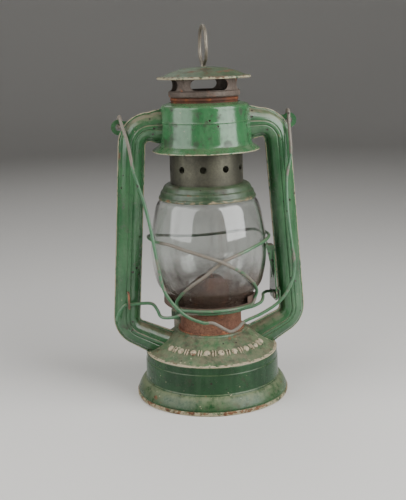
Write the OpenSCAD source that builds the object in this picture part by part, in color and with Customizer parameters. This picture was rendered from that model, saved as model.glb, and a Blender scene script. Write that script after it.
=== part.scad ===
// Hurricane lantern: a cold-blast paraffin lamp in enamelled sheet steel.
// X runs from the left tube to the right tube, -Y is the front and +Z is up.
// The origin is the middle of the base, on the surface that the lantern stands on.

/* [Sheet and wire] */
// Thickness of the sheet steel
sheet = 0.8; // [0.6:0.1:1]
// Diameter of the bail, guard and cradle wire
wire_d = 2.4; // [2:0.1:2.8]
// Gap between pieces that pass each other
clear = 0.4; // [0.35:0.05:0.5]

/* [Tank] */
// Outer radius of the tank wall at its top
tank_r = 50.5; // [48:0.1:61]
// Height of the tank wall
tank_h = 34; // [28:0.5:42]
// How far the foot flares out beyond the wall
foot_flare = 8; // [4:0.5:12]
// Height of the flared foot
foot_h = 12.5; // [9:0.5:16]
// Rise of the conical tank top
cone_h = 14.5; // [11:0.5:18]
// Width of the deck round the air drum
deck_w = 5.6; // [5:0.2:6.4]
// Radius of the filler neck
filler_r = 7.6; // [6.2:0.1:8.2]
// Turn of the filler neck from the front, towards the right
filler_turn = 205; // [205:1:235]
// Lift of the filler cap for each full turn
filler_pitch = 3; // [2:0.5:4]

/* [Burner] */
// Outer radius of the air drum
drum_r = 23.4; // [20.5:0.1:25]
// Height of the air drum
drum_h = 15.5; // [14:0.1:20]
// Outer radius of the burner cone
burner_r = 15; // [12.5:0.1:16]
// Height of the burner cone above the air drum
burner_h = 25; // [20:0.5:28]
// Width of the flat wick
wick_w = 12; // [8:0.5:14]
// Thickness of the flat wick
wick_t = 2.4; // [2:0.1:3]
// Radius of the wick wheel
knob_r = 8.5; // [6:0.5:9]

/* [Globe] */
// Largest outer radius of the glass globe
globe_r = 43.5; // [40:0.1:53]
// Height of the glass globe
globe_h = 85.4; // [70:0.1:103]
// Thickness of the glass
glass = 1.8; // [1.5:0.1:2.5]
// Gap between the globe and the guard wire
guard_gap = 1.2; // [0.8:0.1:1.5]
// Turn of the lift lever when the globe is up
lever_turn = 28; // [20:1:30]

/* [Chimney and hood] */
// Outer radius of the chimney neck
neck_r = 24.4; // [20:0.1:26]
// Step out from the neck to the chimney tube
chimney_step = 2.7; // [2:0.1:3.5]
// Length of chimney that shows between the globe seat and the hood
chimney_show = 23.6; // [20:0.2:28]
// Step out from the chimney tube to the hood's skirt
hood_gap = 7; // [6:0.1:9]
// Height of the hood
hood_h = 35.4; // [32:0.2:42]
// Width of the hood's flange
flange_w = 5.9; // [4:0.1:7.5]
// Height of the vent collar
vent_h = 13.6; // [12:0.2:17]
// How far the cap stands out beyond the neck
cap_overhang = 10; // [8:0.2:14]
// Height of the lift ring above the cap
ring_h = 30; // [24:0.5:36]
// Width of the lift ring, middle to middle of its wire
ring_w = 26.6; // [20:0.2:30]

/* [Tubes] */
// Distance from the globe's widest part to the middle of a tube at its top
leg_top_gap = 11.3; // [11:0.1:16]
// Distance from the globe's widest part to the middle of a tube at its foot
leg_foot_gap = 20.7; // [20:0.1:25]
// Width of a tube across its lips
tube_w = 20; // [17:0.5:21]
// Depth of a tube, front to back
tube_d = 15; // [12:0.5:16]
// Radius of the tube's bends
bend_r = 13.5; // [12:0.5:15]
// Width of the seam lips
lip = 1.6; // [1.2:0.1:2]

/* [Bail] */
// Room round the bail's wire in the hole of each ear
ear_room = 1.3; // [1:0.1:1.6]
// Width of metal round the hole of each ear
ear_rim = 3.1; // [2.6:0.1:3.4]
// Height of the hanging bail's lowest point above the tank's top
bail_clear = 10; // [6:0.5:14]
// Forward lean of the hanging bail
bail_lean = 14.5; // [12:0.5:18]

/* [Hidden] */
$fn = 96;
wire_r = wire_d / 2;
eps = 0.01;

// Radii that follow from the neck, the drum and the globe
chimney_r = neck_r + chimney_step;
hood_r = chimney_r + hood_gap;
flange_r = hood_r + flange_w;
cap_r = neck_r + cap_overhang;
cone_top_r = drum_r + deck_w;
leg_top_x = globe_r + leg_top_gap;
leg_foot_x = globe_r + leg_foot_gap;

// Levels, from the base up
cone_z = tank_h + 0.5;
cone_top_z = cone_z + cone_h - 0.5;
deck_z = cone_top_z + 2;
deck_r = cone_top_r - 1.4;
drum_z = deck_z;
drum_top = drum_z + drum_h;
plate_z = drum_top + 5.6;
globe_top = plate_z + globe_h;
seat_z = globe_top - 6;
seat_top = globe_top + 5.5;
hood_z = seat_top + chimney_show;
hood_top = hood_z + hood_h;
hood_seam = hood_z + 21;
neck_top = hood_top + 4;
vent_top = neck_top + vent_h;
cap_top = vent_top + 7.6;

// Tank
rim_r = tank_r + foot_flare;
rim_h = 3;
bead_z = tank_h - 6;
cap_play = 0.7;
filler_cap_r = filler_r + cap_play + 1.2;
filler_out = cone_top_r + filler_cap_r + 0.3;
filler_at = [filler_out * sin(filler_turn), -filler_out * cos(filler_turn)];
filler_top = cone_top_z + 5.1;
band_r = (tank_r + cone_top_r) / 2 - 0.5;

// Wick feed: shaft beside the wick, with a star wheel that stands just clear of its face
shaft_r = 1.2;
star_r = 3;
shaft_x = wick_t / 2 + star_r + 0.3;

// Globe outline: height as a share of the whole, then outer radius
globe_foot_r = globe_r - 12.5;
globe_neck_r = chimney_r + 4.7;
function foot_to_middle(share) = lerp(globe_foot_r, globe_r, share);
function neck_to_middle(share) = lerp(globe_neck_r, globe_r, share);
globe_shape = [[0, globe_foot_r], [0.04, foot_to_middle(0.05)], [0.1, foot_to_middle(0.27)],
    [0.16, foot_to_middle(0.63)], [0.24, foot_to_middle(0.82)], [0.36, foot_to_middle(0.96)],
    [0.48, globe_r],
    [0.6, neck_to_middle(0.96)], [0.7, neck_to_middle(0.85)], [0.8, neck_to_middle(0.71)],
    [0.88, neck_to_middle(0.54)], [0.92, globe_neck_r + 3.9], [0.96, globe_neck_r + 0.6],
    [1, globe_neck_r]];

// Globe plate, chimney and hood
plate_r = globe_r - 8.1;
plate_hole = burner_r + 1.5;
seat_r = globe_neck_r + 4.7;
hood_top_r = hood_r - 1.5;
neck_play = 1.4;
spring_z = hood_z + 1.6;
spring_turns = 6;
spring_d = 1.2;

// Tubes
elbow = [leg_top_x - bend_r, hood_z + 18.9 - bend_r];
knee = [leg_foot_x - bend_r, cone_top_z + 14];
leg_tilt = atan2(knee[0] - elbow[0], elbow[1] - knee[1]);
knee_turn = 62;
arm_dir = [-sin(knee_turn), -cos(knee_turn)];
arm_end_x = lerp(cone_top_r, tank_r, 0.14);
arm_len = (knee[0] + bend_r * cos(knee_turn) - arm_end_x) / sin(knee_turn);
lip_t = sheet;
half_d = tube_d / 2;
function leg_x(z) = lerp(leg_foot_x, leg_top_x, (z - knee[1]) / (elbow[1] - knee[1]));
// Half section of a tube: place across the body, then depth, as shares of the half width and depth
tube_skin = [[-1, 0], [-0.93, 0.36], [-0.78, 0.64], [-0.52, 0.84], [-0.24, 0.94], [-0.17, 0.89], [-0.11, 1],
    [0.11, 1], [0.17, 0.89], [0.24, 0.94], [0.52, 0.84], [0.78, 0.64], [0.93, 0.36], [1, 0]];
tube_lining = [[1, 0], [0.93, 0.36], [0.78, 0.64], [0.5, 0.82], [0, 0.88], [-0.5, 0.82], [-0.78, 0.64],
    [-0.93, 0.36], [-1, 0]];

// Bail: ears, end loops and length
ear_at = [elbow[0] + 22.2, elbow[1] + 14];
ear_t = 1.2;
ear_hole_r = wire_r + ear_room;
ear_r = ear_hole_r + ear_rim;
loop_r = (ear_hole_r + ear_r) / 2 - 0.15;
bail_axis = [0, 0, ear_at[1] + loop_r];
bail_len = (bail_axis[2] - cone_top_z - bail_clear) / cos(bail_lean);

// Lift lever and cradle
lever_arm = 12;
lift = lever_arm * tan(lever_turn);
lever_x = leg_x(plate_z) - tube_w / 2 - 4.4;
lever_y = -8;
lever_z = plate_z + 1.8;
lever_t = 1;
lever_h = 38;
pin_r = 1.5;
cradle_z = plate_z + 3.5;
cradle_y = half_d + lip_t + wire_r + 0.6;
staple_d = 1.6;

// Palette
GREEN = "#2f6b45";
DEEP_GREEN = "#24543a";
RUST = "#7a4a38";
BARE = "#77766a";
BRASS = "#8a7444";

// Numbers and curves
function lerp(a, b, t) = a + (b - a) * t;
function unit(v) = v / norm(v);
function arc(c, r, a0, a1, n) = [for (i = [0:n]) let (a = lerp(a0, a1, i / n)) c + r * [cos(a), sin(a)]];
function spline(a, b, c, d, t) =
    0.5 * (2 * b + (c - a) * t + (2 * a - 5 * b + 4 * c - d) * t * t + (3 * b - a - 3 * c + d) * t * t * t);
function smooth(p, n) = [for (i = [0:len(p) - 2], s = [0:n - 1])
    spline(p[max(i - 1, 0)], p[i], p[i + 1], p[min(i + 2, len(p) - 1)], s / n), p[len(p) - 1]];
function smooth_ring(p, n) = let (m = len(p)) [for (i = [0:m - 1], s = [0:n - 1])
    spline(p[(i + m - 1) % m], p[i], p[(i + 1) % m], p[(i + 2) % m], s / n)];
function across(n, t) = unit(n - (n * t) * t);

// Directions along an open path, and a side direction carried along it without twist
function headings(p) = [for (i = [0:len(p) - 1]) unit(p[min(i + 1, len(p) - 1)] - p[max(i - 1, 0)])];
function carried(t, n0) =
    [for (i = 0, n = across(n0, t[0]); i < len(t); i = i + 1, n = i < len(t) ? across(n, t[i]) : n) n];

// Surface of revolution from an outer outline and its wall thickness, listed from the bottom up
module turned_shell(outline, wall) {
    inside = [for (i = [len(outline) - 1:-1:0]) outline[i] - [wall, 0]];
    rotate_extrude() polygon(concat(outline, inside));
}

module ring(r_out, r_in, z, h) {
    translate([0, 0, z]) difference() {
        cylinder(r = r_out, h = h);
        translate([0, 0, -eps]) cylinder(r = r_in, h = h + 2 * eps);
    }
}

// Tube of rings joined in order, where each ring is a list of points
module skin(rings, closed = false) {
    n = len(rings);
    m = len(rings[0]);
    sides = [for (i = [0:closed ? n - 1 : n - 2], j = [0:m - 1]) let (k = (i + 1) % n, l = (j + 1) % m)
        [i * m + j, k * m + j, k * m + l, i * m + l]];
    caps = closed ? [] : [[for (j = [0:m - 1]) j], [for (j = [m - 1:-1:0]) (n - 1) * m + j]];
    polyhedron([for (r = rings) each r], concat(sides, caps), convexity = 8);
}

module wire(path, d, side, facets = 8) {
    t = headings(path);
    n = carried(t, side);
    skin([for (i = [0:len(path) - 1]) let (b = cross(t[i], n[i]))
        [for (j = [0:facets - 1]) let (a = 360 * j / facets)
            path[i] + d / 2 * (n[i] * cos(a) + b * sin(a))]]);
}

// Closed wire that goes round the Z axis
module wire_ring(path, d, facets = 8) {
    m = len(path);
    skin([for (i = [0:m - 1]) let (
            t = unit(path[(i + 1) % m] - path[(i + m - 1) % m]),
            n = across([path[i][0], path[i][1], 0], t),
            b = cross(t, n))
        [for (j = [0:facets - 1]) let (a = 360 * j / facets)
            path[i] + d / 2 * (n * cos(a) + b * sin(a))]], true);
}

// Tank
module tank_wall() {
    flare = [for (i = [0:6]) let (a = 90 * i / 6)
        [tank_r + 1.2 + (foot_flare - 1.8) * (1 - sin(a)), rim_h + (foot_h - rim_h) * (1 - cos(a))]];
    outline = concat([[rim_r - 0.6, 0], [rim_r, 0.6], [rim_r, rim_h - 0.6]], flare,
        [[tank_r + 1.2 - 0.3, foot_h + 0.8], [tank_r + 0.5, bead_z], [tank_r, bead_z + 0.8],
        [tank_r, tank_h]]);
    color(GREEN) turned_shell(outline, sheet);
}

module tank_bottom() {
    r = rim_r - sheet;
    color(RUST) rotate_extrude() polygon([[0, 2.4], [r - 4, 1.2], [r - 2.4, 0], [r - 0.6, 0],
        [r - 0.6, sheet],
        [r - 2, sheet], [r - 4, 1.2 + sheet], [0, 2.4 + sheet]]);
}

module cone_outline(drop) {
    polygon([[tank_r, tank_h - drop], [tank_r, tank_h + 0.3 - drop / 2],
        [tank_r - 1.5, cone_z + 0.2 - drop],
        [cone_top_r, cone_top_z - drop], [cone_top_r - 0.8, cone_top_z + 0.8 - drop],
        [deck_r, cone_top_z + 0.8 - drop],
        [deck_r - 0.8, deck_z - drop], [0, deck_z - drop], [0, tank_h - drop]]);
}

// Solid outer form of the tank top, which the tubes are trimmed to
module tank_envelope() {
    rotate_extrude() cone_outline(0);
    cylinder(r = tank_r, h = tank_h);
}

module tank_top() {
    slope = atan2(cone_top_z - cone_z, tank_r - 1.5 - cone_top_r);
    band_z = lerp(cone_z + 0.2, cone_top_z, (tank_r - 1.5 - band_r) / (tank_r - 1.5 - cone_top_r));
    color(GREEN) {
        difference() {
            rotate_extrude() cone_outline(0);
            rotate_extrude() difference() {
                cone_outline(sheet);
                translate([tank_r - sheet, 0]) square([sheet * 2, tank_h * 2]);
            }
            translate([0, 0, tank_h - 1]) cylinder(r = tank_r - sheet, h = 1 + eps);
            translate([0, 0, tank_h]) cylinder(r = burner_r + 0.5, h = cone_h * 2);
            translate([filler_at[0], filler_at[1], 0]) cylinder(r = filler_r, h = filler_top);
        }
        // Pressed bead-and-reel band on the front of the cone
        for (i = [-8:8]) rotate([0, 0, i * 7.6]) translate([0, -band_r, band_z]) rotate([slope, 0, 0])
            translate([0, 0, -0.4]) {
                if (i % 2 == 0) cylinder(r = 2, h = 0.9, $fn = 24);
                else for (s = [-1, 1]) translate([s * 0.9 - 0.35, -2.1, 0]) cube([0.7, 4.2, 0.9]);
            }
    }
}

module filler_neck() {
    color(BARE) translate([filler_at[0], filler_at[1], 0]) difference() {
        translate([0, 0, cone_z]) cylinder(r = filler_r, h = filler_top - cone_z);
        translate([0, 0, cone_z - eps]) cylinder(r = filler_r - sheet, h = filler_top);
    }
}

module filler_gasket() {
    color("#3a342c") translate([filler_at[0], filler_at[1], filler_top + 0.05])
        cylinder(r = filler_r + 0.2, h = 1.4);
}

module filler_cap() {
    top = filler_top + 1.5;
    grips = 20;
    color(DEEP_GREEN) translate([filler_at[0], filler_at[1], 0]) difference() {
        union() {
            translate([0, 0, top - 6]) cylinder(r = filler_cap_r, h = 6);
            translate([0, 0, top]) cylinder(r1 = filler_cap_r, r2 = filler_cap_r - 1.6, h = 1.2);
        }
        translate([0, 0, top - 6 - eps]) cylinder(r = filler_r + cap_play, h = 6 + eps);
        for (i = [0:grips - 1]) rotate([0, 0, 360 * i / grips])
            translate([filler_cap_r + 0.5, 0, top - 5]) cylinder(r = 0.9, h = 8, $fn = 24);
    }
}

// Burner
module air_drum() {
    color(RUST) difference() {
        union() {
            ring(drum_r, drum_r - sheet, drum_z, drum_h);
            ring(drum_r + 2, drum_r - sheet, drum_z, sheet);
        }
        translate([shaft_x, drum_r, drum_z + drum_h / 2]) rotate([90, 0, 0])
            cylinder(r = shaft_r + clear, h = 8, center = true, $fn = 32);
    }
}

module burner_collar() {
    color(BRASS) ring(burner_r + 0.5, burner_r - 1.5, deck_z - 3, 6);
}

module burner_base() {
    vents = 16;
    z = drum_top - 3.2;
    color(RUST) difference() {
        union() {
            translate([0, 0, z]) cylinder(r = drum_r - sheet, h = sheet);
            ring(drum_r - sheet, drum_r - 2 * sheet, z, 3.2);
        }
        translate([-wick_t / 2 - 1.4, -wick_w / 2 - 1.4, z - 1]) cube([wick_t + 2.8, wick_w + 2.8, 4]);
        for (i = [0:vents - 1]) rotate([0, 0, 360 * i / vents]) translate([18.2, 0, z - 1])
            cylinder(r = 1.3, h = 3, $fn = 24);
    }
}

module burner_cone() {
    base = drum_top - 3.2 + sheet;
    h = drum_top + burner_h - base;
    outer = concat([[burner_r, 0], [burner_r, h * 0.35]],
        [for (i = [1:6]) let (a = 90 * i / 6)
            [burner_r * (0.36 + 0.64 * cos(a)), h * (0.35 + 0.65 * sin(a))]]);
    inner = [for (i = [len(outer) - 1:-1:0]) [outer[i][0] - sheet, max(0, outer[i][1] - sheet * i / 6)]];
    color(RUST) translate([0, 0, base]) difference() {
        rotate_extrude() polygon(concat(outer, [[0, h]], [[0, h - sheet]], inner));
        translate([-wick_t / 2 - 1.6, -wick_w / 2 - 1.5, h / 2]) cube([wick_t + 3.2, wick_w + 3, h]);
        for (i = [0:11]) rotate([0, 0, 30 * i + 15]) translate([0, -burner_r, h * 0.18]) rotate([90, 0, 0])
            cylinder(r = 1.1, h = 4, center = true, $fn = 24);
    }
}

module wick_tube() {
    z = drum_z - 1;
    h = drum_top + burner_h - 5 - z;
    color(BRASS) translate([0, 0, z]) difference() {
        translate([-wick_t / 2 - 1.2, -wick_w / 2 - 1.2, 0]) cube([wick_t + 2.4, wick_w + 2.4, h]);
        translate([-wick_t / 2 - clear, -wick_w / 2 - clear, -eps])
            cube([wick_t + 2 * clear, wick_w + 2 * clear, h + 2 * eps]);
        translate([0, -wick_w / 2, drum_h / 2 - star_r - 0.2]) cube([wick_t * 2, wick_w, 2 * star_r + 2.4]);
    }
}

module wick() {
    z = deck_z - 26;
    color("#b9ad94") translate([-wick_t / 2, -wick_w / 2, z])
        cube([wick_t, wick_w, drum_top + burner_h - 3.4 - z]);
}

module wick_shaft() {
    back = plate_r + 9;
    color(BRASS) translate([shaft_x, 0, drum_z + drum_h / 2]) rotate([-90, 0, 0]) {
        translate([0, 0, -wick_w / 2 - 1]) cylinder(r = shaft_r, h = back + wick_w / 2 + 1, $fn = 32);
        translate([0, 0, -wick_w / 2 + 0.8]) cylinder(r = star_r, h = wick_w - 1.6, $fn = 12);
    }
}

module wick_wheel() {
    t = 3;
    y = plate_r + 4.6;
    teeth = 24;
    color(BRASS) translate([shaft_x, y, drum_z + drum_h / 2]) rotate([90, 0, 0]) difference() {
        cylinder(r = knob_r, h = t, center = true);
        for (i = [0:teeth - 1]) rotate([0, 0, 360 * i / teeth]) translate([knob_r + 0.35, 0, 0])
            cylinder(r = 0.8, h = t + 1, center = true, $fn = 24);
        for (s = [-1, 1]) translate([0, 0, s * t / 2]) ring(knob_r - 1.8, 3, -0.7, 1.4);
        cylinder(r = shaft_r, h = t + 1, center = true, $fn = 32);
    }
}

// Side tubes, each of two pressed halves. The path is [x, z, width, heading] in the XZ plane.
function tube_path() = let (bends = 8) concat(
    [[hood_r - 6, elbow[1] + bend_r, tube_w + 6.5, 90],
        [lerp(hood_r, elbow[0], 0.4), elbow[1] + bend_r, tube_w + 4, 90]],
    [for (i = [0:bends]) let (a = lerp(90, leg_tilt, i / bends))
        [elbow[0] + bend_r * cos(a), elbow[1] + bend_r * sin(a), tube_w + 1.5 * (1 - i / bends), a]],
    [for (i = [0:bends]) let (a = lerp(leg_tilt, -knee_turn, i / bends))
        [knee[0] + bend_r * cos(a), knee[1] + bend_r * sin(a), tube_w, a]],
    [let (end = knee + bend_r * [cos(knee_turn), -sin(knee_turn)] + arm_len * arm_dir)
        [end[0], end[1], tube_w + 4, -knee_turn]]);

function tube_ring(p, side) = let (
        body = p[2] / 2 - lip,
        lining = body - sheet,
        section = concat([[-p[2] / 2, 0], [-p[2] / 2, lip_t]],
            [for (q = tube_skin) [q[0] * body, lip_t + q[1] * (half_d - lip_t)]],
            [[p[2] / 2, lip_t], [p[2] / 2, 0]],
            [for (q = tube_lining) [q[0] * lining, q[1] * (half_d - sheet)]]))
    [for (q = section) [p[0] + q[0] * cos(p[3]), side * q[1], p[1] + q[0] * sin(p[3])]];

module tube_half(x_side, y_side) {
    rings = [for (p = tube_path()) tube_ring(p, y_side)];
    color(GREEN) mirror([x_side < 0 ? 1 : 0, 0, 0]) difference() {
        skin([for (r = rings) y_side > 0 ? r : [for (i = [len(r) - 1:-1:0]) r[i]]]);
        tank_envelope();
        hood_envelope();
        translate([ear_at[0], 0, ear_at[1]]) rotate([90, 0, 0])
            cylinder(r = ear_hole_r, h = tube_d, center = true, $fn = 48);
    }
}

module tube_left_front() { tube_half(-1, -1); }
module tube_left_back() { tube_half(-1, 1); }
module tube_right_front() { tube_half(1, -1); }
module tube_right_back() { tube_half(1, 1); }

// Bail ear: a plate in the seam between the two halves of a tube
module ear(x_side) {
    color(GREEN) mirror([x_side < 0 ? 1 : 0, 0, 0]) rotate([90, 0, 0])
        linear_extrude(ear_t, center = true) difference() {
            union() {
                translate(ear_at) circle(r = ear_r);
                translate([ear_at[0] - 9, ear_at[1] - ear_r]) square([9, 2 * ear_r - 1.4]);
            }
            translate(ear_at) circle(r = ear_hole_r);
            translate(elbow) circle(r = bend_r + tube_w / 2 + 0.6);
        }
}

module ear_left() { ear(-1); }
module ear_right() { ear(1); }

// Hood
function hood_outline() = concat(
    [[flange_r - 0.7, hood_z], [flange_r, hood_z + 0.6], [flange_r - 0.5, hood_z + 1.4],
        [hood_r + 0.6, hood_z + 4.6], [hood_r, hood_z + 6], [lerp(hood_r, hood_top_r, 0.55), hood_seam]]);
function crown_outline() = concat(
    [[lerp(hood_r, hood_top_r, 0.55), hood_seam], [lerp(hood_r, hood_top_r, 0.55) + 0.5, hood_seam + 0.6],
        [lerp(hood_r, hood_top_r, 0.6), hood_seam + 1.4], [hood_top_r, hood_top - 5.5]],
    arc([hood_top_r - 3, hood_top - 4.2], 3, 8, 80, 5), [[neck_r + neck_play, hood_top]]);

// Solid outer form of the hood, which the tubes are trimmed to
module hood_envelope() {
    rotate_extrude() polygon(concat([[0, hood_z]], hood_outline(), crown_outline(), [[0, hood_top]]));
}

module hood_skirt() {
    color(GREEN) difference() {
        turned_shell(hood_outline(), sheet);
        for (s = [-1, 1]) translate([s * hood_r, 0, hood_seam - 6]) cube([12, 9, 8], center = true);
    }
}

module hood_top_shell() {
    outline = crown_outline();
    n = len(outline);
    color(GREEN) rotate_extrude() polygon(concat(outline,
        [for (i = [n - 1:-1:0]) outline[i] - [i < n - 1 ? sheet : 0, i > 3 ? sheet : 0]]));
}

// Spring that presses the chimney down on the globe
module hood_spring() {
    r = neck_r + 2;
    h = hood_top - sheet - spring_z - spring_d;
    steps = 14;
    color(BARE) wire([for (i = [0:spring_turns * steps]) let (a = 360 * i / steps)
        [r * cos(a), r * sin(a), spring_z + spring_d / 2 + 0.1 + (h - 0.2) * i / (spring_turns * steps)]],
        spring_d, [1, 0, 0], 6);
}

// Guide for the cradle wire, let into the front of the left tube
module guide_staple() {
    x = -leg_x(cradle_z);
    y = -cradle_y - wire_r - clear - staple_d / 2;
    low = cradle_z - wire_r - clear - staple_d / 2;
    high = cradle_z + lift + wire_r + clear + staple_d / 2;
    color(RUST) translate([x, y, 0]) {
        translate([0, 0, low]) cylinder(d = staple_d, h = high - low, $fn = 32);
        for (z = [low, high]) translate([0, 0, z]) {
            sphere(d = staple_d, $fn = 32);
            rotate([-90, 0, 0]) cylinder(d = staple_d, h = -y - half_d + 0.5, $fn = 32);
        }
    }
}

// Lift lever with its bracket and pin, on the inner side of the right tube
module lever_bracket() {
    x = lever_x + lever_t + 1.4;
    lip_x = leg_x(lever_z) - tube_w / 2;
    color(GREEN) difference() {
        union() {
            translate([x, lever_y - 4, lever_z - 4.5]) cube([lever_t, 3.4 - lever_y, 9]);
            translate([x, -sheet - lever_t, lever_z - 4.5]) cube([lip_x + 1.2 - x, lever_t, 9]);
        }
        translate([x - 1, lever_y, lever_z]) rotate([0, 90, 0]) cylinder(r = pin_r, h = 4, $fn = 32);
    }
}

module lever_pin() {
    color(BARE) translate([lever_x, lever_y, lever_z]) rotate([0, 90, 0]) {
        translate([0, 0, -1.3]) cylinder(r = 2.6, h = 1, $fn = 32);
        translate([0, 0, -1]) cylinder(r = pin_r, h = lever_t + 3.6, $fn = 32);
    }
}

module lift_lever() {
    slot_r = wire_r + clear;
    far = lever_arm / cos(lever_turn);
    top_y = 5;
    color(GREEN) translate([lever_x, lever_y, lever_z]) {
        difference() {
            rotate([90, 0, 90]) linear_extrude(lever_t) union() {
                circle(r = 4.2);
                polygon([[-2.6, 3.3], [-4, 0], [0, -4.2], [far, -4.2], [far + 2, -3.6], [far + 4, 0],
                    [far + 3.6, 3],
                    [top_y + 9, lever_h - 4], [top_y + 9, lever_h], [top_y, lever_h]]);
            }
            translate([-1, 0, 0]) rotate([0, 90, 0]) cylinder(r = pin_r + 0.05, h = lever_t + 2, $fn = 48);
            for (y = [lever_arm - 0.1, far + 0.1]) translate([-1, y, 0]) rotate([0, 90, 0])
                cylinder(r = slot_r, h = lever_t + 2, $fn = 48);
            translate([-1, lever_arm, -slot_r]) cube([lever_t + 2, far - lever_arm, 2 * slot_r]);
            translate([-1, top_y + 3.4, 11]) rotate([4, 0, 0]) cube([lever_t + 2, 3, lever_h - 18]);
        }
        // Tapered front flange and thumb tab, both turned towards the globe
        translate([0, top_y, 0]) rotate([90, 0, 0]) linear_extrude(lever_t, center = true)
            polygon([[0, 12], [lever_t, 12], [lever_t, lever_h], [-5, lever_h], [-5, lever_h - 1.5]]);
        translate([-5.2, top_y - lever_t / 2, lever_h - 1]) cube([5.2 + lever_t, 9.5, lever_t]);
        translate([-5.2, top_y - lever_t / 2, lever_h - 1]) cube([lever_t, 9.5, 4]);
    }
}

// Globe carriage
module globe_plate() {
    tab = 28;
    inner_holes = 20;
    outer_holes = 26;
    color(RUST) {
        difference() {
            rotate_extrude() polygon([[plate_hole, plate_z - sheet], [plate_r - 1, plate_z - sheet],
                [plate_r, plate_z + 0.2], [plate_r, plate_z + 2.4], [plate_r - sheet, plate_z + 2.4],
                [plate_r - sheet, plate_z + 0.5], [plate_r - 1.5, plate_z], [plate_hole + sheet, plate_z],
                [plate_hole + sheet, plate_z + 1.6], [plate_hole, plate_z + 1.6]]);
            for (i = [0:inner_holes - 1]) rotate([0, 0, 360 * i / inner_holes])
                translate([plate_hole + 4, 0, plate_z - 2]) cylinder(r = 1.2, h = 4, $fn = 24);
            for (i = [0:outer_holes - 1]) rotate([0, 0, 360 * i / outer_holes])
                translate([plate_hole + 8.6, 0, plate_z - 2]) cylinder(r = 1.2, h = 4, $fn = 24);
        }
        for (a = [190, 326, 50, 100]) rotate([0, 0, a - tab / 2]) rotate_extrude(angle = tab)
            translate([plate_r - sheet + 0.1, plate_z + 1.4]) square([sheet - 0.2, 5.8]);
    }
}

module globe() {
    steps = 3;
    wall = smooth([for (p = globe_shape) [p[1], plate_z + p[0] * globe_h]], steps);
    n = len(wall);
    color("#c9d6d8", 0.35) rotate_extrude(convexity = 6)
        polygon(concat(wall, [for (i = [n - 1:-1:0]) wall[i] - [glass, 0]]));
}

// Place on the guard from its turn, its height above the plate and how far it stands off
function guard_point(turn, h, off = 0) = let (
        glass_r = lookup(h / globe_h, globe_shape),
        r = max(glass_r + guard_gap, plate_r - 0.05) + wire_r + off)
    [r * sin(turn), -r * cos(turn), plate_z + h];

guard_low = globe_h * 0.01;
guard_cross = globe_h * 0.46;
guard_high = globe_h * 0.6;
over = wire_d + 0.2;
guard_path = smooth_ring(concat(
    [for (a = [-48:16:48]) guard_point(a, guard_low)],
    [guard_point(55.5, globe_h * 0.05), guard_point(53, globe_h * 0.13),
    guard_point(34, globe_h * 0.25, 0.6),
        guard_point(19, globe_h * 0.36, over * 0.7), guard_point(2, guard_cross, over),
        guard_point(-14, globe_h * 0.52, over * 0.5), guard_point(-32, globe_h * 0.565),
        guard_point(-50, globe_h * 0.6), guard_point(-68, guard_high), guard_point(-90, guard_high)],
    [for (a = [-112.5:-22.5:-247.5]) guard_point(a, globe_h * (0.485 + 0.11 * pow(sin(a), 2)))],
    [guard_point(-270, globe_h * 0.575), guard_point(-290, globe_h * 0.58),
    guard_point(-310, globe_h * 0.57),
        guard_point(-335, globe_h * 0.53), guard_point(-358, guard_cross),
        guard_point(-374, globe_h * 0.345),
        guard_point(-389, globe_h * 0.245), guard_point(-405, globe_h * 0.13),
        guard_point(-413, globe_h * 0.055)]), 3);

module globe_guard() {
    color(GREEN) wire_ring(guard_path, wire_d);
}

module cradle_wire() {
    x = leg_x(cradle_z);
    low = plate_z - sheet - wire_r + 0.05;
    end = lever_x + lever_t + 0.8;
    left = [[-x - 10, -8, cradle_z - 12], [-x - 7.5, -cradle_y, cradle_z - 5],
        [-x - 3.5, -cradle_y, cradle_z - 0.4],
        [-x, -cradle_y, cradle_z], [-x + 10, -cradle_y, cradle_z + 0.3],
        [-x + 17, -cradle_y - 0.6, cradle_z - 0.6],
        [-x + 20.4, -cradle_y - 1.6, cradle_z - 5.2], [-x + 22.4, -cradle_y - 3, cradle_z - 9.8],
        [-x + 26, -cradle_y - 6, cradle_z - 10.6], [-x + 32, -cradle_y - 10, cradle_z - 9.4],
        [-plate_r * 0.7, -plate_r * 0.7, low - 0.8]];
    middle = [for (a = [-28:14:42]) [(plate_r - 2.5) * sin(a), -(plate_r - 2.5) * cos(a), low]];
    right = [[plate_r * 0.82, -plate_r * 0.56, low - 0.3], [plate_r + 1.2, -13.5, low + 0.6],
        [plate_r + 4, -9, low + 3], [lever_x - 8, -2, lever_z], [lever_x - 4, lever_y + lever_arm, lever_z],
        [lever_x, lever_y + lever_arm, lever_z], [end, lever_y + lever_arm, lever_z]];
    color(DEEP_GREEN) wire(smooth(concat(left, middle, right), 3), wire_d, [0, 0, 1]);
}

// Chimney: rises with the globe, and on its own by the lift ring
module chimney_tube() {
    vents = 10;
    z = globe_top + 0.6;
    top = hood_z + 0.6;
    color(BARE) difference() {
        rotate_extrude() polygon([[chimney_r - sheet, z], [chimney_r, z], [chimney_r, top - 0.6],
            [chimney_r - 0.6, top],
            [neck_r, top], [neck_r, top - sheet], [chimney_r - sheet, top - sheet]]);
        for (i = [0:vents - 1]) rotate([0, 0, 360 * i / vents - 15])
            translate([0, -chimney_r, seat_top + chimney_show / 2]) rotate([90, 0, 0])
                cylinder(r = 2.5, h = 6, center = true, $fn = 32);
    }
}

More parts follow.
